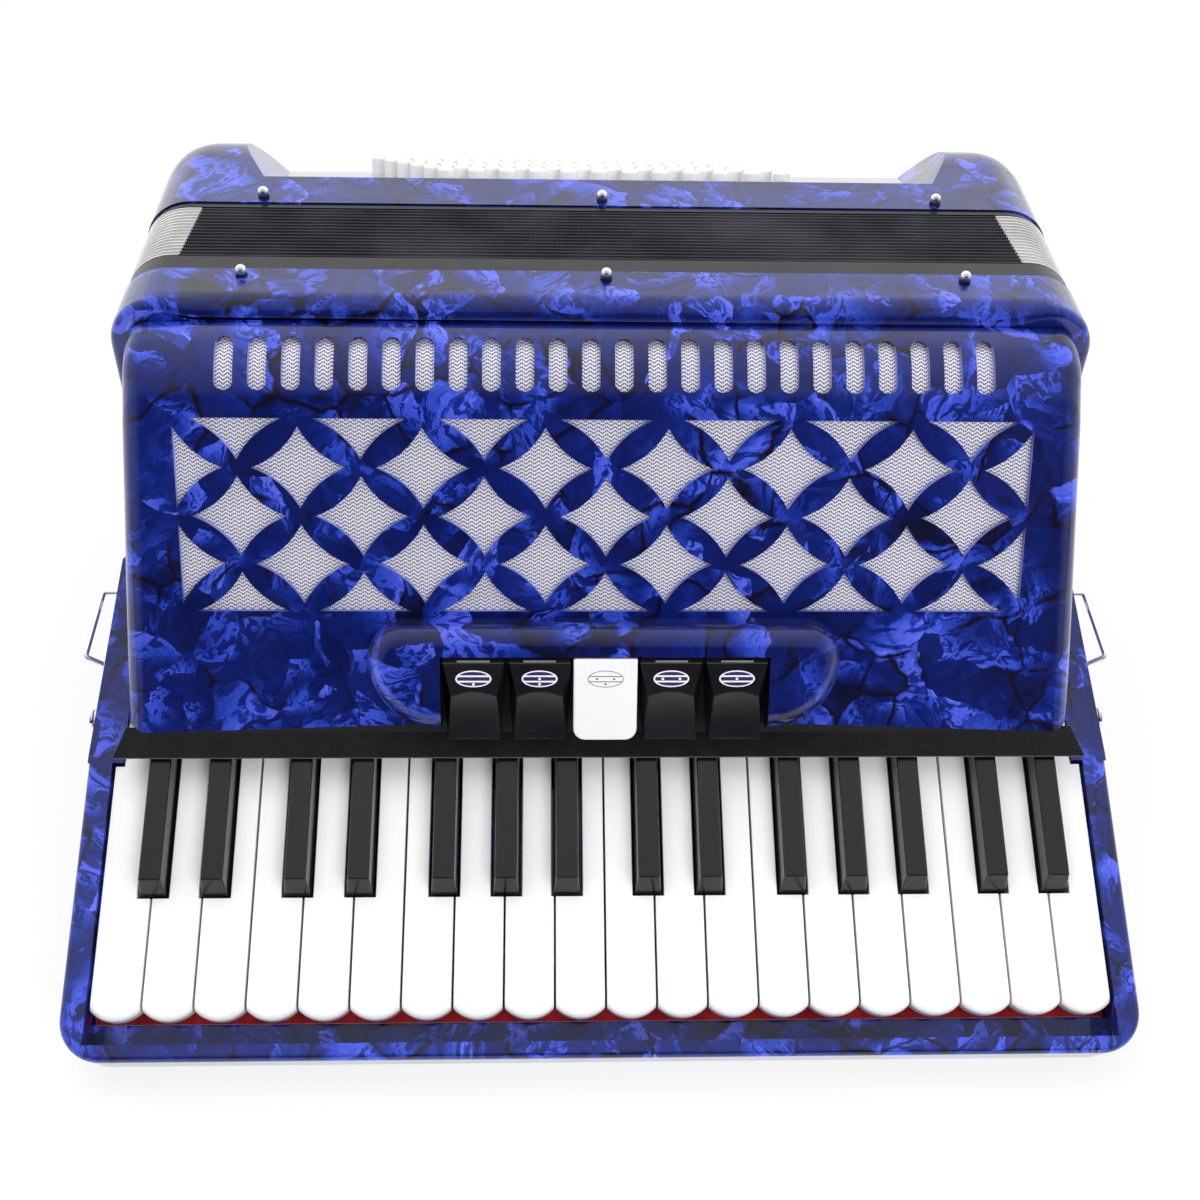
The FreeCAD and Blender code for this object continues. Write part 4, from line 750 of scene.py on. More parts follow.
def makeShells():
    eased = {"grille_cover": ((), shoulder["cuts"], shoulderDrop),
             "treble_case": ([way * brow[end] for way in (-1, 1) for end in ("full", "end")], brow["cuts"],
                             browDrop)}
    for node, name in (("grille_cover", "grilleCover"), ("treble_case", "trebleCase"),
                       ("keyboard_bed", "keyboardBed"), ("bass_case", "bassCase")):
        piece = fromCad(node, name, bluePearloid, 32, eased.get(node))
        if node == "grille_cover":
            dress(piece, bluePearloid, openingEdgeHighlight, recessBlack)
            # the openings' side walls take the painted edge highlight, and the switches' recess the black
            paintFaces(piece, 1, insideOpening)
            paintFaces(piece, 2, insideRecess)
    fromCad("bass_button_plate", "buttonPlate", brushedPlate, 32)
    for node, coat in (("key_axle", steel), ("treble_reed_blocks", reedWood), ("bass_reed_blocks", reedWood)):
        dress(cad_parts[node], coat)


makeShells()
print("shells made")


# felts

felts = {"redHalf": 188.0, "redNear": -98.3, "redWidth": 20.0, "redLow": -13.5, "redThick": 2.4,
         "redRound": 0.5, "stripFront": 186.0, "stripBack": 182.0, "stripNear": -3.1, "stripFar": 9.1,
         "stripLow": 10.3, "stripThick": 1.7, "stripRound": 0.45}


def makeFelts():
    f = felts
    red = block("redKeyFelt", (-f["redHalf"], f["redNear"], f["redLow"]),
                (f["redHalf"], f["redNear"] + f["redWidth"], f["redLow"] + f["redThick"]))
    soften(red, f["redRound"])
    strip = block("blackStripFelt", (-f["stripFront"], f["stripNear"], f["stripLow"]),
                  (f["stripFront"], f["stripFar"], f["stripLow"] + f["stripThick"]))
    edit(strip)
    pick("VERT", lambda corner: corner.co.y > 0)
    bpy.ops.transform.resize(value=(f["stripBack"] / f["stripFront"], 1, 1), center_override=(0, 0, 0))
    leave()
    soften(strip, f["stripRound"])
    for piece, coat in ((red, redFelt), (strip, blackFelt)):
        complete(piece, keyPlane, 35, coat, "treble_side")
    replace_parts(strip, "key_felts")


makeFelts()
print("felts made")


# grille cloth

cloth = {"half": 161.4, "behind": 3.05, "thick": 0.6, "foot": 42.0, "back": 83.4, "arcSteps": 12}


def clothRoute():
    # points up the face and round the shoulder, behind the cover
    c = cloth
    slope = math.radians(front["slope"])
    normal = Vector((0, -math.sin(slope), math.cos(slope)))
    up = Vector((0, math.cos(slope), math.sin(slope)))
    foot = Vector((0, front["y"], front["z"])) + up * c["foot"] - normal * c["behind"]
    hub = Vector((0, shoulderHub(shoulder["top"], shoulder["round"]), shoulder["top"] - shoulder["round"]))
    left = shoulder["round"] - c["behind"]
    last = math.asin((hub.y - c["back"]) / left)
    turns = [slope + (last - slope) * step / c["arcSteps"] for step in range(c["arcSteps"] + 1)]
    return [foot] + [hub + Vector((0, -math.sin(turn), math.cos(turn))) * left for turn in turns]


def layFlat(mesh, points, run):
    # UV in metres: across, and the way along the route
    while mesh.uv_layers:
        mesh.uv_layers.remove(mesh.uv_layers[0])
    layer = mesh.uv_layers.new(name="flat")
    for loop in mesh.loops:
        spot = mesh.vertices[loop.vertex_index].co / mm
        near = min(range(len(points)), key=lambda n: (points[n].yz - spot.yz).length)
        layer.data[loop.index].uv = (spot.x * mm, run[near] * mm)


def makeCloth():
    c = cloth
    points = clothRoute()
    piece = fresh(bpy.ops.mesh.primitive_plane_add, "grilleCloth", size=1)
    edit(piece)
    # only the plane's front edge is kept, half its size before the middle
    pick("VERT", lambda corner: corner.co.y > 0)
    bpy.ops.mesh.delete(type="VERT")
    bpy.ops.mesh.select_all(action="SELECT")
    bpy.ops.transform.resize(value=(c["half"] * 2 * mm, 1, 1))
    bpy.ops.transform.translate(value=points[0] * mm + Vector((0, 0.5, 0)))
    run = [0.0]
    for before, after in zip(points, points[1:]):
        bpy.ops.mesh.extrude_edges_move(TRANSFORM_OT_translate={"value": (after - before) * mm})
        run.append(run[-1] + (after - before).length)
    leave()
    modify(piece, "SOLIDIFY", thickness=c["thick"] * mm, offset=-1)
    outward(piece)
    layFlat(piece.data, points, run)
    complete(piece, upright, 35, zigzagCloth, "treble_side", "grille_cloth")


makeCloth()
print("grille cloth made")


# register switches

switch = {"count": 5, "plain": 3, "pitch": 24.6, "half": 11.95, "foot": 0.8, "waist": 18.5, "shoulder": 31.0,
          "top": 33.0, "low": 4.4, "high": 10.6, "fall": 0.2, "scoop": (32.6, 30.6, 9.5), "scoopY": 4.0,
          "scoopZ": 18.55, "edge": 0.22, "tipRound": 4.5, "rim": 2.2, "swell": 0.25, "whiteEdge": 0.7,
          "seat": -0.09,
          # the black switch: where, at the top or not, the half width there and the height
          "outline": [("foot", False, 10.3, 4.4), ("foot", True, 9.6, 10.3), ("waist", False, 11.45, 4.4),
                      ("waist", True, 8.4, 10.6), ("shoulder", True, 11.35, 10.4), ("top", True, 11.55, 8.2)]}
switchBar = {"low": (-6.1, 31.6, 9.0), "high": (6.1, 32.3, 10.2), "round": 0.2}
mark = {"middle": 25.2, "wide": 6.7, "tall": 3.3, "line": 0.64, "plainLine": 0.26, "band": 1.05, "dot": 0.52,
        "plainDot": 0.39, "rise": 0.1, "edge": 0.04, "tube": 0.06, "ground": 0.05, "inset": 0.3,
        "groundEdge": 0.02}
# dots in each switch's oval: across and up from its middle
dotPlaces = {1: [(0, -2.1)], 2: [(0, 0), (0, -2.1)], 3: [(-3.2, 0), (3.2, 0), (0, -2.0)],
             4: [(-3.2, 0), (3.2, 0)], 5: [(0, 0)]}


def switchBlock():
    s = switch
    piece = block("switch", (-s["half"], s["foot"], s["low"]), (s["half"], s["top"], s["high"]))
    edit(piece)
    return piece


def blackSwitch():
    s = switch
    piece = switchBlock()
    for name in ("waist", "shoulder"):
        cut((0, s[name] * mm, 0), (0, 1, 0))
    top = (s["high"] - 10 * hair) * mm
    for name, high, half, level in s["outline"]:
        pick("VERT", lambda v: abs(v.co.y / mm - s[name]) < hair and (v.co.z > top) == high)
        bpy.ops.transform.resize(value=(half / s["half"], 1, 1), center_override=(0, 0, 0))
        move(z=level - s["high" if high else "low"])
    leave()
    # thumb hollow, which ends in an arc at the waist
    carve(piece, settle(ball("hollow", s["scoop"], 96, 64), at(0, s["scoopY"], s["scoopZ"])))
    soften(piece, s["edge"], 2, 24)
    smooth(piece, 30)
    return piece


def whiteSwitch():
    s = switch
    piece = switchBlock()
    pick("EDGE", lambda edge: along(edge, (0, 0, 1)) and middle(edge).y < s["waist"] / 2 * mm)
    bpy.ops.mesh.bevel(offset=s["tipRound"] * mm, segments=8)
    raiseTop(s["rim"], s["swell"])
    leave()
    soften(piece, s["whiteEdge"], 4, 40)
    smooth(piece, 50)
    return piece


def ovalRing(line):
    # an oval whose line has the same width all round, which the two axes would draw differently
    m = mark
    wide, tall = [(m[name] - line / 2) * mm for name in ("wide", "tall")]
    ring = fresh(bpy.ops.mesh.primitive_torus_add, "ring", major_radius=1, minor_radius=m["tube"],
                 major_segments=64, minor_segments=8)
    ring.data.transform(Matrix.Diagonal((wide, tall, m["rise"] * mm / m["tube"], 1)))
    for corner in ring.data.vertices:
        flat = Vector((corner.co.x, corner.co.y, 0))
        turn = math.atan2(flat.y / m["tall"], flat.x / m["wide"])
        base = Vector((math.cos(turn) * wide, math.sin(turn) * tall, 0))
        offset = flat - base
        if offset.length > 0:
            share = min(1.0, offset.length / (m["tube"] * m["tall"] * mm))
            offset = offset.normalized() * (line * mm / 2) * share
        corner.co = base + offset + Vector((0, 0, corner.co.z))
    return ring


def ovalMark(number, line, dotSize):
    # a generic register sign: an oval with two bars and dots
    m = mark
    parts = [ovalRing(line)]
    for way in (-1, 1):
        reach = m["wide"] * math.sqrt(1 - (m["band"] / m["tall"]) ** 2) - line / 2
        low, high = way * m["band"] - line / 2, way * m["band"] + line / 2
        parts.append(block("bar", (-reach, low, -m["rise"]), (reach, high, m["rise"])))
    for x, y in dotPlaces[number]:
        parts.append(settle(disc("dot", dotSize, -m["rise"], m["rise"], 16), at(x, y)))
    sign = gather(f"registerSign{number}", *parts)
    soften(sign, m["edge"], 1, 60)
    return sign


def ovalGround(number):
    m = mark
    ground = disc(f"registerGround{number}", 1, -m["ground"], m["ground"], 64)
    ground.data.transform(Matrix.Diagonal((m["wide"] - m["inset"], m["tall"] - m["inset"], 1, 1)))
    soften(ground, m["groundEdge"], 1, 60)
    return ground


def makeSwitches():
    s, m = switch, mark
    dark, light = blackSwitch(), whiteSwitch()
    slope = math.degrees(math.atan2(-s["fall"], s["shoulder"] - s["waist"]))
    for number in range(1, s["count"] + 1):
        place = facePlane @ at((number - s["plain"]) * s["pitch"])
        body = f"register_switch_{number}"
        plain = number == s["plain"]
        piece = twin((light if plain else dark).data, f"registerSwitch{number}", place)
        give(piece, switchWhite if plain else switchBlack, body, body)
        seat = place @ at(0, m["middle"], s["high"] + s["swell" if plain else "seat"])
        if plain:
            sign = ovalMark(number, m["plainLine"], m["plainDot"])
        else:
            seat = seat @ turned(slope, "X")
            complete(ovalGround(number), seat, 35, markNavy, body)
            bar = block(f"switchBar{number}", switchBar["low"], switchBar["high"])
            soften(bar, switchBar["round"], 2)
            complete(bar, place, 35, chrome, body)
            sign = ovalMark(number, m["line"], m["dot"])
        complete(sign, seat, 35, markGrey if plain else markWhite, body)
    bpy.data.objects.remove(dark)
    bpy.data.objects.remove(light)


makeSwitches()
print("register switches made")


# bass buttons and air button

button = {"radius": 3.6, "low": -12.0, "rise": 9.2, "round": 1.5, "dome": 0.9, "pitch": 12.6, "row": 8.9,
          "firstRow": 6.6, "first": -63.5, "stagger": -6.3, "rows": 6, "count": 12}
airKnob = {"radius": 6.5, "x": -142.0, "y": 247.0, "z": 72.0, "inside": 16.0, "rise": 6.0, "round": 1.0,
           "dish": 0.8}
knobTop = {"steps": 3, "step": 0.3}  # the top is stepped in by a share of its flat radius


def roundKnob(name, k, low, high, swell):
    piece = disc(name, k["radius"], low, high, 32)
    top = (high - 10 * hair) * mm
    edit(piece)
    pick("EDGE", lambda edge: min(v.co.z for v in edge.verts) > top)
    bpy.ops.mesh.bevel(offset=k["round"] * mm, segments=4)
    pick("FACE", lambda face: face.normal.z > 0.999 and middle(face).z > top)
    for step in range(knobTop["steps"]):
        bpy.ops.mesh.inset(thickness=(k["radius"] - k["round"]) * mm * knobTop["step"])
        move(z=swell / knobTop["steps"])
    leave()
    return piece


def makeButtons():
    b = button
    one = roundKnob("bassButton", b, b["low"], b["rise"] - b["dome"], b["dome"])
    smooth(one, 40)
    for row in range(b["rows"]):
        knobs = []
        for number in range(b["count"]):
            place = at(b["first"] + row * b["stagger"] + number * b["pitch"], b["firstRow"] + row * b["row"])
            knobs.append(twin(one.data, f"button{row}_{number}", platePlane @ place))
        node = f"bass_buttons_row_{row + 1}"
        give(gather(f"bassButtons{row + 1}", *knobs), buttonPlastic, node, node)
    bpy.data.objects.remove(one)


def makeAirButton():
    a = airKnob
    piece = roundKnob("airButton", a, -a["inside"], a["rise"], -a["dish"])
    place = upright @ at(a["x"], a["y"], a["z"]) @ turned(-90, "X")
    complete(piece, place, 40, airPlastic, "air_button", "air_button")


makeButtons()
makeAirButton()
print("buttons made")


# fittings

pin = {"places": (-134.5, 0.0, 134.5), "trebleY": 103.5, "bassY": 163.0, "top": 151.0, "collar": 2.2,
       "collarThick": 1.0, "neck": 1.5, "ball": 2.15, "rise": 2.2, "edge": 0.15}
bracket = {"out": 203.5, "farY": 71.0, "farZ": 21.5, "nearY": 36.0, "nearZ": 19.5, "rootZ": 13.5,
           "inside": 1.0, "wire": 1.1, "rosette": 3.2, "rosetteThick": 0.8, "bend": 3.4, "rim": 0.9,
           "swell": 0.35, "edge": 0.25}
stud = {"y": 19.5, "z": 1.5, "radius": 4.0, "thick": 3.6, "washer": 5.3, "washerThick": 1.0, "inside": 0.4,
        "waist": (0.35, 0.5, 0.65), "groove": 0.5, "rim": 1.6, "dish": 0.6, "edge": 0.3}
coverScrew = {"y": 55.0, "z": 79.0, "radius": 2.75, "low": -1.4, "high": 1.6, "x": 177.2, "knurl": 10,
              "gap": 0.06, "tooth": 0.22, "rim": 0.7, "swell": 0.2}
rod = {"radius": 1.0, "half": 61.8, "along": 31.0, "rise": 6.5, "edge": 0.2}


def sideHalf(y):
    # half width of the tapering case side at a place behind the strip line
    return side["half"] - side["taper"] / side["over"] * y


def sided(name, way):
    return name + ("Right" if way > 0 else "Left")


def makePins(name, y, body):
    p = pin
    balls, feet = [], []
    for x in p["places"]:
        balls.append(settle(ball("pinBall", (p["ball"],) * 3, 32, 20), at(x, y, p["top"] + p["rise"])))
        foot = disc("pinFoot", p["collar"], 0, p["collarThick"])
        edit(foot)
        raiseTop(p["collar"] - p["neck"], 0)
        neck = (0, 0, (p["rise"] - p["collarThick"]) * mm)
        bpy.ops.mesh.extrude_region_move(TRANSFORM_OT_translate={"value": neck})
        leave()
        soften(foot, p["edge"], 2)
        feet.append(settle(foot, at(x, y, p["top"])))
    heads = gather(name + "Balls", *balls)
    for piece, coat in ((heads, chrome), (gather(name + "Feet", *feet), washerBlack)):
        complete(piece, upright, 50, coat, body)
    return heads


def bentWire(name, points, radius):
    # round wire through the points with bent corners
    curve = bpy.data.curves.new(name, "CURVE")
    curve.dimensions = "3D"
    curve.bevel_depth = radius * mm
    curve.bevel_resolution = 5
    curve.resolution_u = 10
    curve.use_fill_caps = True
    line = curve.splines.new("NURBS")
    line.points.add(len(points) - 1)
    for spot, point in zip(line.points, points):
        spot.co = (*[value * mm for value in point], 1)
    line.order_u = 3
    line.use_endpoint_u = True
    piece = bpy.data.objects.new(name, curve)
    bpy.context.collection.objects.link(piece)
    takeUp(piece)
    bpy.ops.object.convert(target="MESH")
    return bpy.context.object


def makeBracket(way):
    b = bracket
    out = way * b["out"]
    farRoot, nearRoot = [Vector((way * (sideHalf(b[name]) - b["inside"]), b[name], b[height]))
                         for name, height in (("farY", "farZ"), ("nearY", "rootZ"))]
    corners = [farRoot, Vector((out, b["farY"], b["farZ"])), Vector((out, b["nearY"], b["nearZ"])), nearRoot]
    points = [farRoot]
    for before, corner, after in zip(corners, corners[1:], corners[2:]):
        ends = [corner + (end - corner).normalized() * b["bend"] for end in (before, after)]
        points += [ends[0], corner, ends[1]]
    wire = bentWire("wire", points + [nearRoot], b["wire"])
    outward(wire)
    discs = []
    for root in (farRoot, nearRoot):
        rosette = disc("rosette", b["rosette"], 0, b["rosetteThick"] + b["inside"])
        edit(rosette)
        raiseTop(b["rim"], b["swell"])
        leave()
        soften(rosette, b["edge"], 2, 30)
        discs.append(settle(rosette, at(*root) @ turned(way * 90, "Y")))
    piece = gather(sided("strapBracket", way), wire, *discs)
    complete(piece, upright, 40, chrome, "treble_side")


def makeStud(way):
    s = stud
    washer = disc(sided("studWasher", way), s["washer"], 0, s["washerThick"] + s["inside"], 40)
    soften(washer, s["edge"], 2)
    head = disc(sided("strapStud", way), s["radius"], s["washerThick"], s["washerThick"] + s["thick"], 40)
    edit(head)
    low, groove, high = [s["washerThick"] + s["thick"] * share for share in s["waist"]]
    for level in (low, groove, high):
        cut((0, 0, level * mm), (0, 0, 1))
    pick("VERT", lambda corner: abs(corner.co.z / mm - groove) < hair)
    pinch = 1 - s["groove"] / s["radius"]
    bpy.ops.transform.resize(value=(pinch, pinch, 1), center_override=(0, 0, 0))
    raiseTop(s["rim"], -s["dish"])
    leave()
    soften(head, s["edge"], 2, 30)
    seat = at(way * (sideHalf(s["y"]) - s["inside"]), s["y"], s["z"]) @ turned(way * 90, "Y")
    for piece, coat in ((washer, washerBlack), (head, chrome)):
        complete(piece, upright @ seat, 40, coat, "treble_side")


def makeCoverScrew(way):
    s = coverScrew
    head = disc(sided("coverScrew", way), s["radius"], s["low"], s["high"], 36)

    def isTooth(face):
        turn = math.degrees(math.atan2(middle(face).y, middle(face).x) + math.pi)
        return abs(face.normal.z) < 0.1 and int(turn / s["knurl"]) % 2 == 0

    edit(head)
    pick("FACE", isTooth)
    bpy.ops.mesh.inset(thickness=s["gap"] * mm, use_individual=True)
    bpy.ops.transform.shrink_fatten(value=s["tooth"] * mm)
    raiseTop(s["rim"], s["swell"])
    leave()
    seat = at(way * s["x"], s["y"], s["z"]) @ turned(way * 90, "Y")
    complete(head, upright @ seat, 25, chrome, "treble_side")


def makeFittings():
    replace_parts(makePins("treblePin", pin["trebleY"], "treble_side"), "treble_fittings")
    for way in (-1, 1):
        makeBracket(way)
        makeStud(way)
        makeCoverScrew(way)
    bar = disc("switchRod", rod["radius"], -rod["half"], rod["half"], 24)
    soften(bar, rod["edge"], 2)
    seat = at(0, rod["along"], rod["rise"]) @ turned(90, "Y")
    complete(bar, facePlane @ seat, 35, blackSteel, "treble_side")


makeFittings()
print("treble fittings made")


# hand strap

strap = {"half": 132.0, "y": 247.0, "bow": 24.0, "thick": 2.5, "z": 12.0, "width": 52.0, "seam": 6.0,
         "padding": 1.2, "edge": 0.6, "steps": 64, "clear": 0.02, "stitchInset": 3.0, "stitch": 2.6,
         "stitchGap": 1.4, "stitchRadius": 0.35}
strapPlate = {"start": 132.0, "long": 18.0, "thick": 3.5, "corner": 5.0, "edge": 0.6, "screwZ": 15,
              "sunk": 0.3}
# a screw's slot is turned by this many radians, up and down the plate
screw = {"radius": 3.0, "thick": 1.0, "rim": 1.2, "swell": 0.35, "turn": 0.6, "slotLow": (-4, -0.35, 0.9),
         "slotHigh": (4, 0.35, 3)}


def strapBow():
    # radius of the bowed strap, and half of its length laid flat
    radius = (strap["half"] ** 2 + strap["bow"] ** 2) / (2 * strap["bow"])
    return radius, radius * math.asin(strap["half"] / radius)


def bowed(piece, radius):
    # lay a piece along the bow
    s = strap
    for corner in piece.data.vertices:
        turn = corner.co.x / mm / radius
        out = radius + corner.co.y / mm
        corner.co.x = out * math.sin(turn) * mm
        y = s["y"] + s["bow"] - radius + out * math.cos(turn)
        corner.co.y = max(y, s["y"] + s["clear"]) * mm


def makeStrap():
    s = strap
    radius, half = strapBow()
    edge = s["width"] / 2
    piece = block("handStrap", (-half, 0, s["z"] - edge), (half, s["thick"], s["z"] + edge))
    edit(piece)
    for way in (-1, 1):
        cut((0, 0, (s["z"] + way * (edge - s["seam"])) * mm), (0, 0, 1))
    for step in range(1, s["steps"]):
        cut(((-half + 2 * half * step / s["steps"]) * mm, 0, 0), (1, 0, 0))
    # the outer face between the seams is padded
    pick("FACE", lambda face: face.normal.y > 0.9 and abs(middle(face).z / mm - s["z"]) < edge - s["seam"])
    bpy.ops.mesh.inset(thickness=s["padding"] * mm)
    leave()
    soften(piece, s["edge"], 2, 60)
    one = ball("stitch", (s["stitch"] / 2, s["stitchRadius"], s["stitchRadius"]), 8, 6)
    count = int(half * 2 / (s["stitch"] + s["stitchGap"]))
    stitches = []
    for way in (-1, 1):
        for number in range(count):
            x = -half + (number + 0.5) * 2 * half / count
            place = at(x, s["thick"], s["z"] + way * (edge - s["stitchInset"]))
            stitches.append(twin(one.data, f"stitch{way}{number}", place))
    bpy.data.objects.remove(one)
    for thing, coat in ((piece, strapLeather), (gather("strapStitches", *stitches), threadGrey)):
        bowed(thing, radius)
        complete(thing, upright, 50, coat, "bass_side")
    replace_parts(piece, "bass_strap")


def makeScrew():
    s = screw
    head = disc("screw", s["radius"], 0, s["thick"])
    edit(head)
    raiseTop(s["rim"], s["swell"])
    leave()
    carve(head, block("slot", s["slotLow"], s["slotHigh"]))
    return head


def makeStrapPlates():
    p, s = strapPlate, strap
    wide = s["width"] / 2
    outer = (p["start"] + p["long"] / 2) * mm
    plates, screws = [], []
    for way in (-1, 1):
        low = p["start"] if way > 0 else -p["start"] - p["long"]
        end = block("plate", (low, s["y"], s["z"] - wide),
                    (low + p["long"], s["y"] + p["thick"], s["z"] + wide))
        edit(end)
        pick("EDGE", lambda edge: along(edge, (0, 1, 0)) and abs(middle(edge).x) > outer)
        bpy.ops.mesh.bevel(offset=p["corner"] * mm, segments=8)
        leave()
        soften(end, p["edge"], 3)
        plates.append(end)
        for up in (-1, 1):
            seat = at(low + p["long"] / 2, s["y"] + p["thick"] - p["sunk"], s["z"] + up * p["screwZ"])
            twist = Matrix.Rotation(screw["turn"] * up, 4, "Z")
            screws.append(settle(makeScrew(), seat @ turned(-90, "X") @ twist))
    for piece, coat in ((gather("strapEndPlates", *plates), chrome),
                        (gather("strapEndScrews", *screws), nickelSilver)):
        complete(piece, upright, 40, coat, "bass_side")


makeStrap()
makeStrapPlates()
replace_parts(makePins("bassPin", pin["bassY"], "bass_side"), "bass_fittings")
print("hand strap and bass fittings made")


# bellows

bellows = {"half": 181.9, "low": -62.8, "high": 150.4, "corner": 19.4, "near": 108.4, "nearEnd": 117.9,
           "far": 155.4, "farEnd": 158.3, "folds": 16, "deep": 11.0, "wide": 20.0, "edge": 0.9, "lip": 0.2,
           "sliver": 0.01, "metal": 23.0, "metalRise": 0.22, "slant": 3.0,
           # one fold: share of its run, and how deep it lies; the metal covers its outer part
           "fold": [(0.20, 2.6), (0.30, 0.8), (0.42, 0.08), (0.5, 0.0), (0.58, 0.08), (0.70, 0.8),
                    (0.80, 2.6), (1.0, 11.0)]}


def bellowsBlock(name, near, far):
    b = bellows
    piece = block(name, (-b["half"], near, b["low"]), (b["half"], far, b["high"]))
    edit(piece)
    pick("EDGE", lambda edge: along(edge, (0, 1, 0)))
    bpy.ops.mesh.bevel(offset=b["corner"] * mm, segments=8)
    pick("FACE", lambda face: abs(face.normal.y) > 0.9)
    return piece


def makeBellowsFrame(name, near, far, body):
    b = bellows
    piece = bellowsBlock(name, near, far)
    bpy.ops.mesh.inset(thickness=b["wide"] * mm)
    bpy.ops.mesh.bridge_edge_loops()
    leave()
    outward(piece)
    soften(piece, b["edge"], 4, 60)
    complete(piece, upright, 40, blackLacquer, body)


def makeFolds():
    b = bellows
    run = b["far"] - b["nearEnd"]
    pitch = run / b["folds"]
    centre = (b["low"] + b["high"]) / 2
    halves = (b["half"], (b["high"] - b["low"]) / 2)
    piece = bellowsBlock("bellowsFolds", b["nearEnd"] - b["lip"], b["nearEnd"])
    bpy.ops.mesh.delete(type="FACE")
    loops = [(b["nearEnd"], 0.0), (b["nearEnd"] + b["sliver"], b["deep"])]
    for number in range(b["folds"]):
        loops += [(b["nearEnd"] + (number + share) * pitch, level) for share, level in b["fold"]]
    for (place, deep), (newPlace, newDeep) in zip(loops, loops[1:]):
        pick("EDGE", lambda edge: min(corner.co.y for corner in edge.verts) > (place - hair) * mm)
        step = (0, (newPlace - place) * mm, 0)
        bpy.ops.mesh.extrude_region_move(TRANSFORM_OT_translate={"value": step})
        x, z = [(half - newDeep) / (half - deep) for half in halves]
        bpy.ops.transform.resize(value=(x, 1, z), center_override=(0, 0, centre * mm))
    # cut lines for the metal corners, slanting a little across the folds
    lean = b["slant"] / run
    halfWay = (b["nearEnd"] + run / 2) * mm
    for way in (-1, 1):
        cut((way * (b["half"] - b["metal"]) * mm, halfWay, 0), (way, lean, 0))
        cut((0, halfWay, (centre + way * (halves[1] - b["metal"])) * mm), (0, lean, way))

    def onCorner(face):
        spot = middle(face) / mm
        shift = (spot.y - b["nearEnd"] - run / 2) * lean
        share = ((spot.y - b["nearEnd"]) / pitch) % 1.0
        inward = b["metal"] + shift
        outer = abs(spot.x) >= halves[0] - inward and abs(spot.z - centre) >= halves[1] - inward
        return outer and spot.y >= b["nearEnd"] + b["lip"] / 2 and b["fold"][0][0] < share < b["fold"][-2][0]

    pick("FACE", onCorner)
    bpy.ops.mesh.duplicate()
    bpy.ops.mesh.separate(type="SELECTED")
    leave()
    metal = next(one for one in bpy.context.selected_objects if one is not piece)
    metal.name = "bellowsCorners"
    return piece, metal


def makeBellows():
    b = bellows
    makeBellowsFrame("bellowsFrameTreble", b["near"], b["nearEnd"], "treble_side")
    makeBellowsFrame("bellowsFrameBass", b["far"], b["farEnd"], "bass_side")
    folds, metal = makeFolds()
    outward(metal, merged=False)
    outward(folds, merged=False)
    modify(metal, "SOLIDIFY", thickness=b["metalRise"] * mm, offset=1)
    for piece, coat in ((folds, bellowsCloth), (metal, nickelSilver)):
        complete(piece, upright, 35, coat)
        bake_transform(piece)
    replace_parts(folds, "bellows")


makeBellows()
print("bellows made")


# studio, in metres

floor = {"size": 40, "z": -0.0004, "colour": (0.9, 0.9, 0.9, 1), "rough": 0.9, "glow": 0.8, "end": -0.75,
         "fade": 0.1, "dark": 0.02}
# the room's brightness from the front, over the top, to the wall behind
room = {"strength": 1.5, "shades": [(0.0, 0.0), (0.04, 0.01), (0.09, 0.38), (0.25, 0.62), (0.40, 0.85),
                                    (0.56, 1.0), (0.80, 1.45), (1.0, 1.0)]}
# each lamp's name, place, size and power
lamps = [("softboxHigh", (-0.5, 0.35, 1.7), (1.3, 0.9), 10.0),
         ("softboxFront", (0.7, -1.5, 1.1), (1.1, 0.8), 20.0)]
lampAim = (0, 0, 0.1)
camera = {"place": (-0.02242, -0.47124, 0.50804), "right": (0.99934, -0.02573, 0.02561),
          "forward": (0.03629, 0.73019, -0.68228), "lens": 45, "sensor": 36, "near": 0.01}


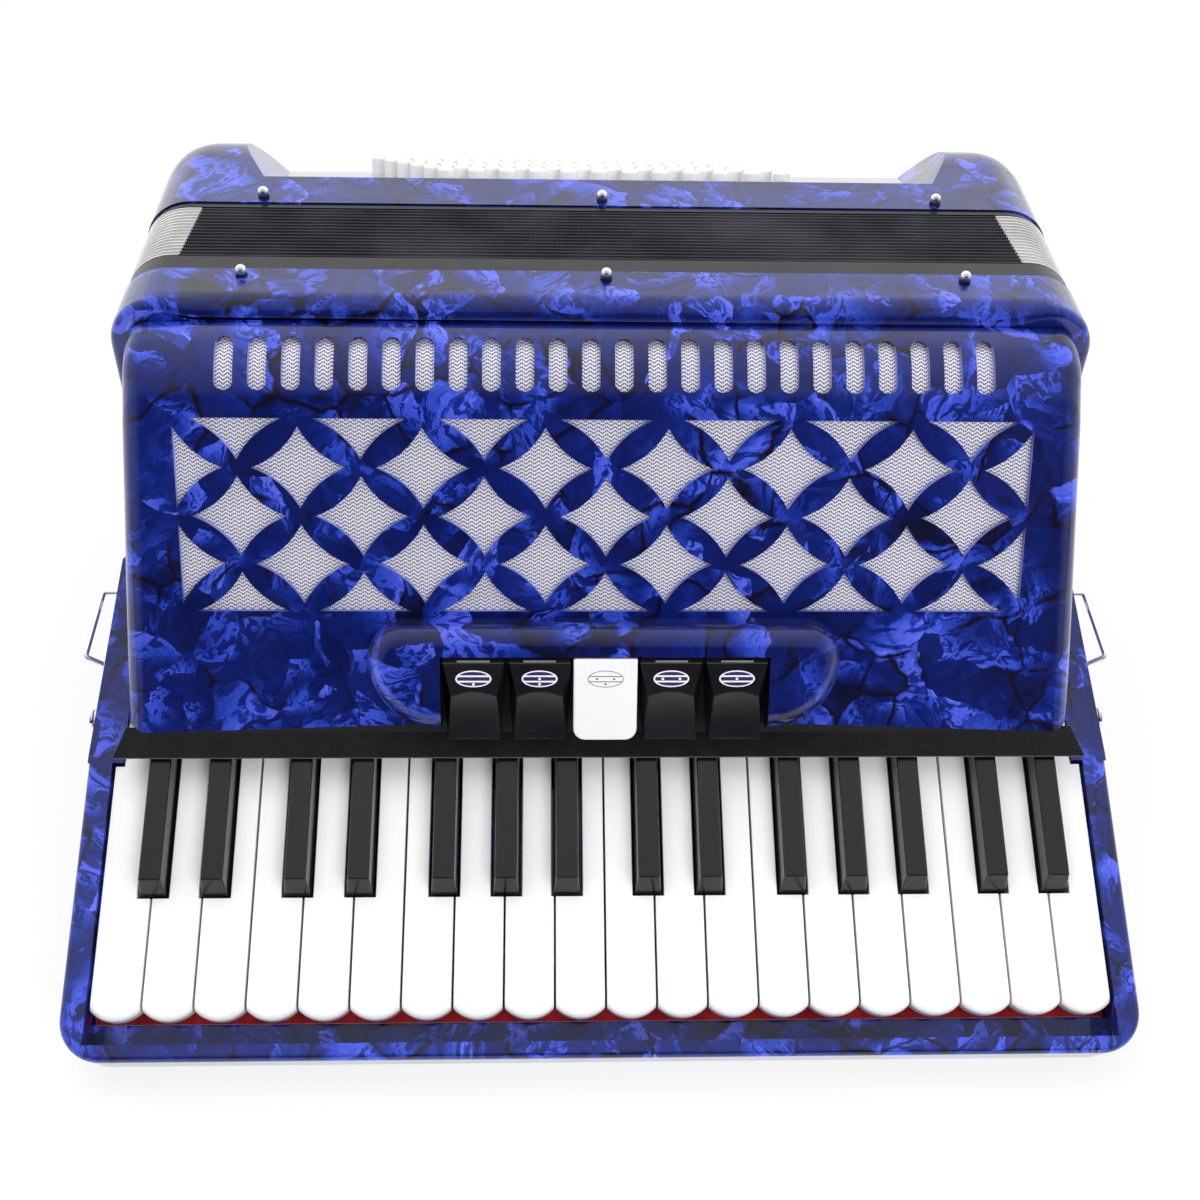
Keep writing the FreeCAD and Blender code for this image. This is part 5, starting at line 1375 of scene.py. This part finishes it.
def makeFloor():
    ground = fresh(bpy.ops.mesh.primitive_plane_add, "floor", size=floor["size"], location=(0, 0, floor["z"]))
    coat, shader, spot = newFinish("floorPaper", Base_Color=floor["colour"], Roughness=floor["rough"],
                                   Specular_IOR_Level=0.0)
    tree = coat.node_tree
    path = Value(tree.nodes.new("ShaderNodeLightPath").outputs[0])
    shiny = path["Is Glossy Ray"]
    seen = sums("MAXIMUM", sums("MAXIMUM", path["Is Camera Ray"], shiny), path["Is Transmission Ray"])
    # in reflections the paper ends in front of the camera, where the room is dark
    y = put("ShaderNodeSeparateXYZ", {0: spot}, "Y")
    ahead = spread(y, floor["end"] - floor["fade"], floor["end"], floor["dark"], 1.0)
    ahead = sums("MAXIMUM", ahead, sums("SUBTRACT", 1.0, shiny))
    glow = put("ShaderNodeEmission", {"Color": (1, 1, 1, 1), "Strength": ahead})
    mix = put("ShaderNodeMixShader", {0: seen * floor["glow"], 1: Value(shader.outputs["BSDF"]), 2: glow})
    feed(tree.nodes["Material Output"], {"Surface": mix})
    ground.data.materials.append(coat)


def makeWorld():
    world = bpy.data.worlds.new("studioWorld")
    bpy.context.scene.world = world
    world.use_nodes = True
    tree = world.node_tree
    path = Value(tree.nodes.new("ShaderNodeLightPath").outputs[0])
    seen = sums("MAXIMUM", path["Is Camera Ray"], path["Is Transmission Ray"])
    # everything else sees a bright ceiling and wall, and a dark room in front
    way = Value(tree.nodes.new("ShaderNodeTexCoord").outputs["Generated"])
    y = put("ShaderNodeSeparateXYZ", {0: way}, "Y")
    level = 1 / room["strength"]
    shades = [(place, (bright * level,) * 3) for place, bright in room["shades"]]
    colour = blended(seen, ramp(spread(y, -1.0, 1.0), *shades), (level, level, level, 1))
    feed(tree.nodes["Background"], {"Color": colour, "Strength": room["strength"]})


def makeLamp(name, place, size, power):
    lamp = bpy.data.lights.new(name, "AREA")
    lamp.shape = "RECTANGLE"
    lamp.size, lamp.size_y = size
    lamp.energy = power
    holder = bpy.data.objects.new(name, lamp)
    bpy.context.collection.objects.link(holder)
    holder.location = place
    holder.rotation_euler = (Vector(lampAim) - Vector(place)).to_track_quat("-Z", "Y").to_euler()
    holder.visible_glossy = False


def makeCamera():
    right, forward = [Vector(camera[name]).normalized() for name in ("right", "forward")]
    lens = bpy.data.cameras.new("camera")
    lens.lens = camera["lens"]
    lens.sensor_width = camera["sensor"]
    lens.clip_start = camera["near"]
    holder = bpy.data.objects.new("camera", lens)
    bpy.context.collection.objects.link(holder)
    turn = Matrix((right, right.cross(forward), -forward)).transposed().to_4x4()
    holder.matrix_world = Matrix.Translation(camera["place"]) @ turn
    bpy.context.scene.camera = holder


makeFloor()
makeWorld()
for lamp in lamps:
    makeLamp(*lamp)
makeCamera()
bpy.context.scene.view_settings.view_transform = "Standard"
print("studio made")
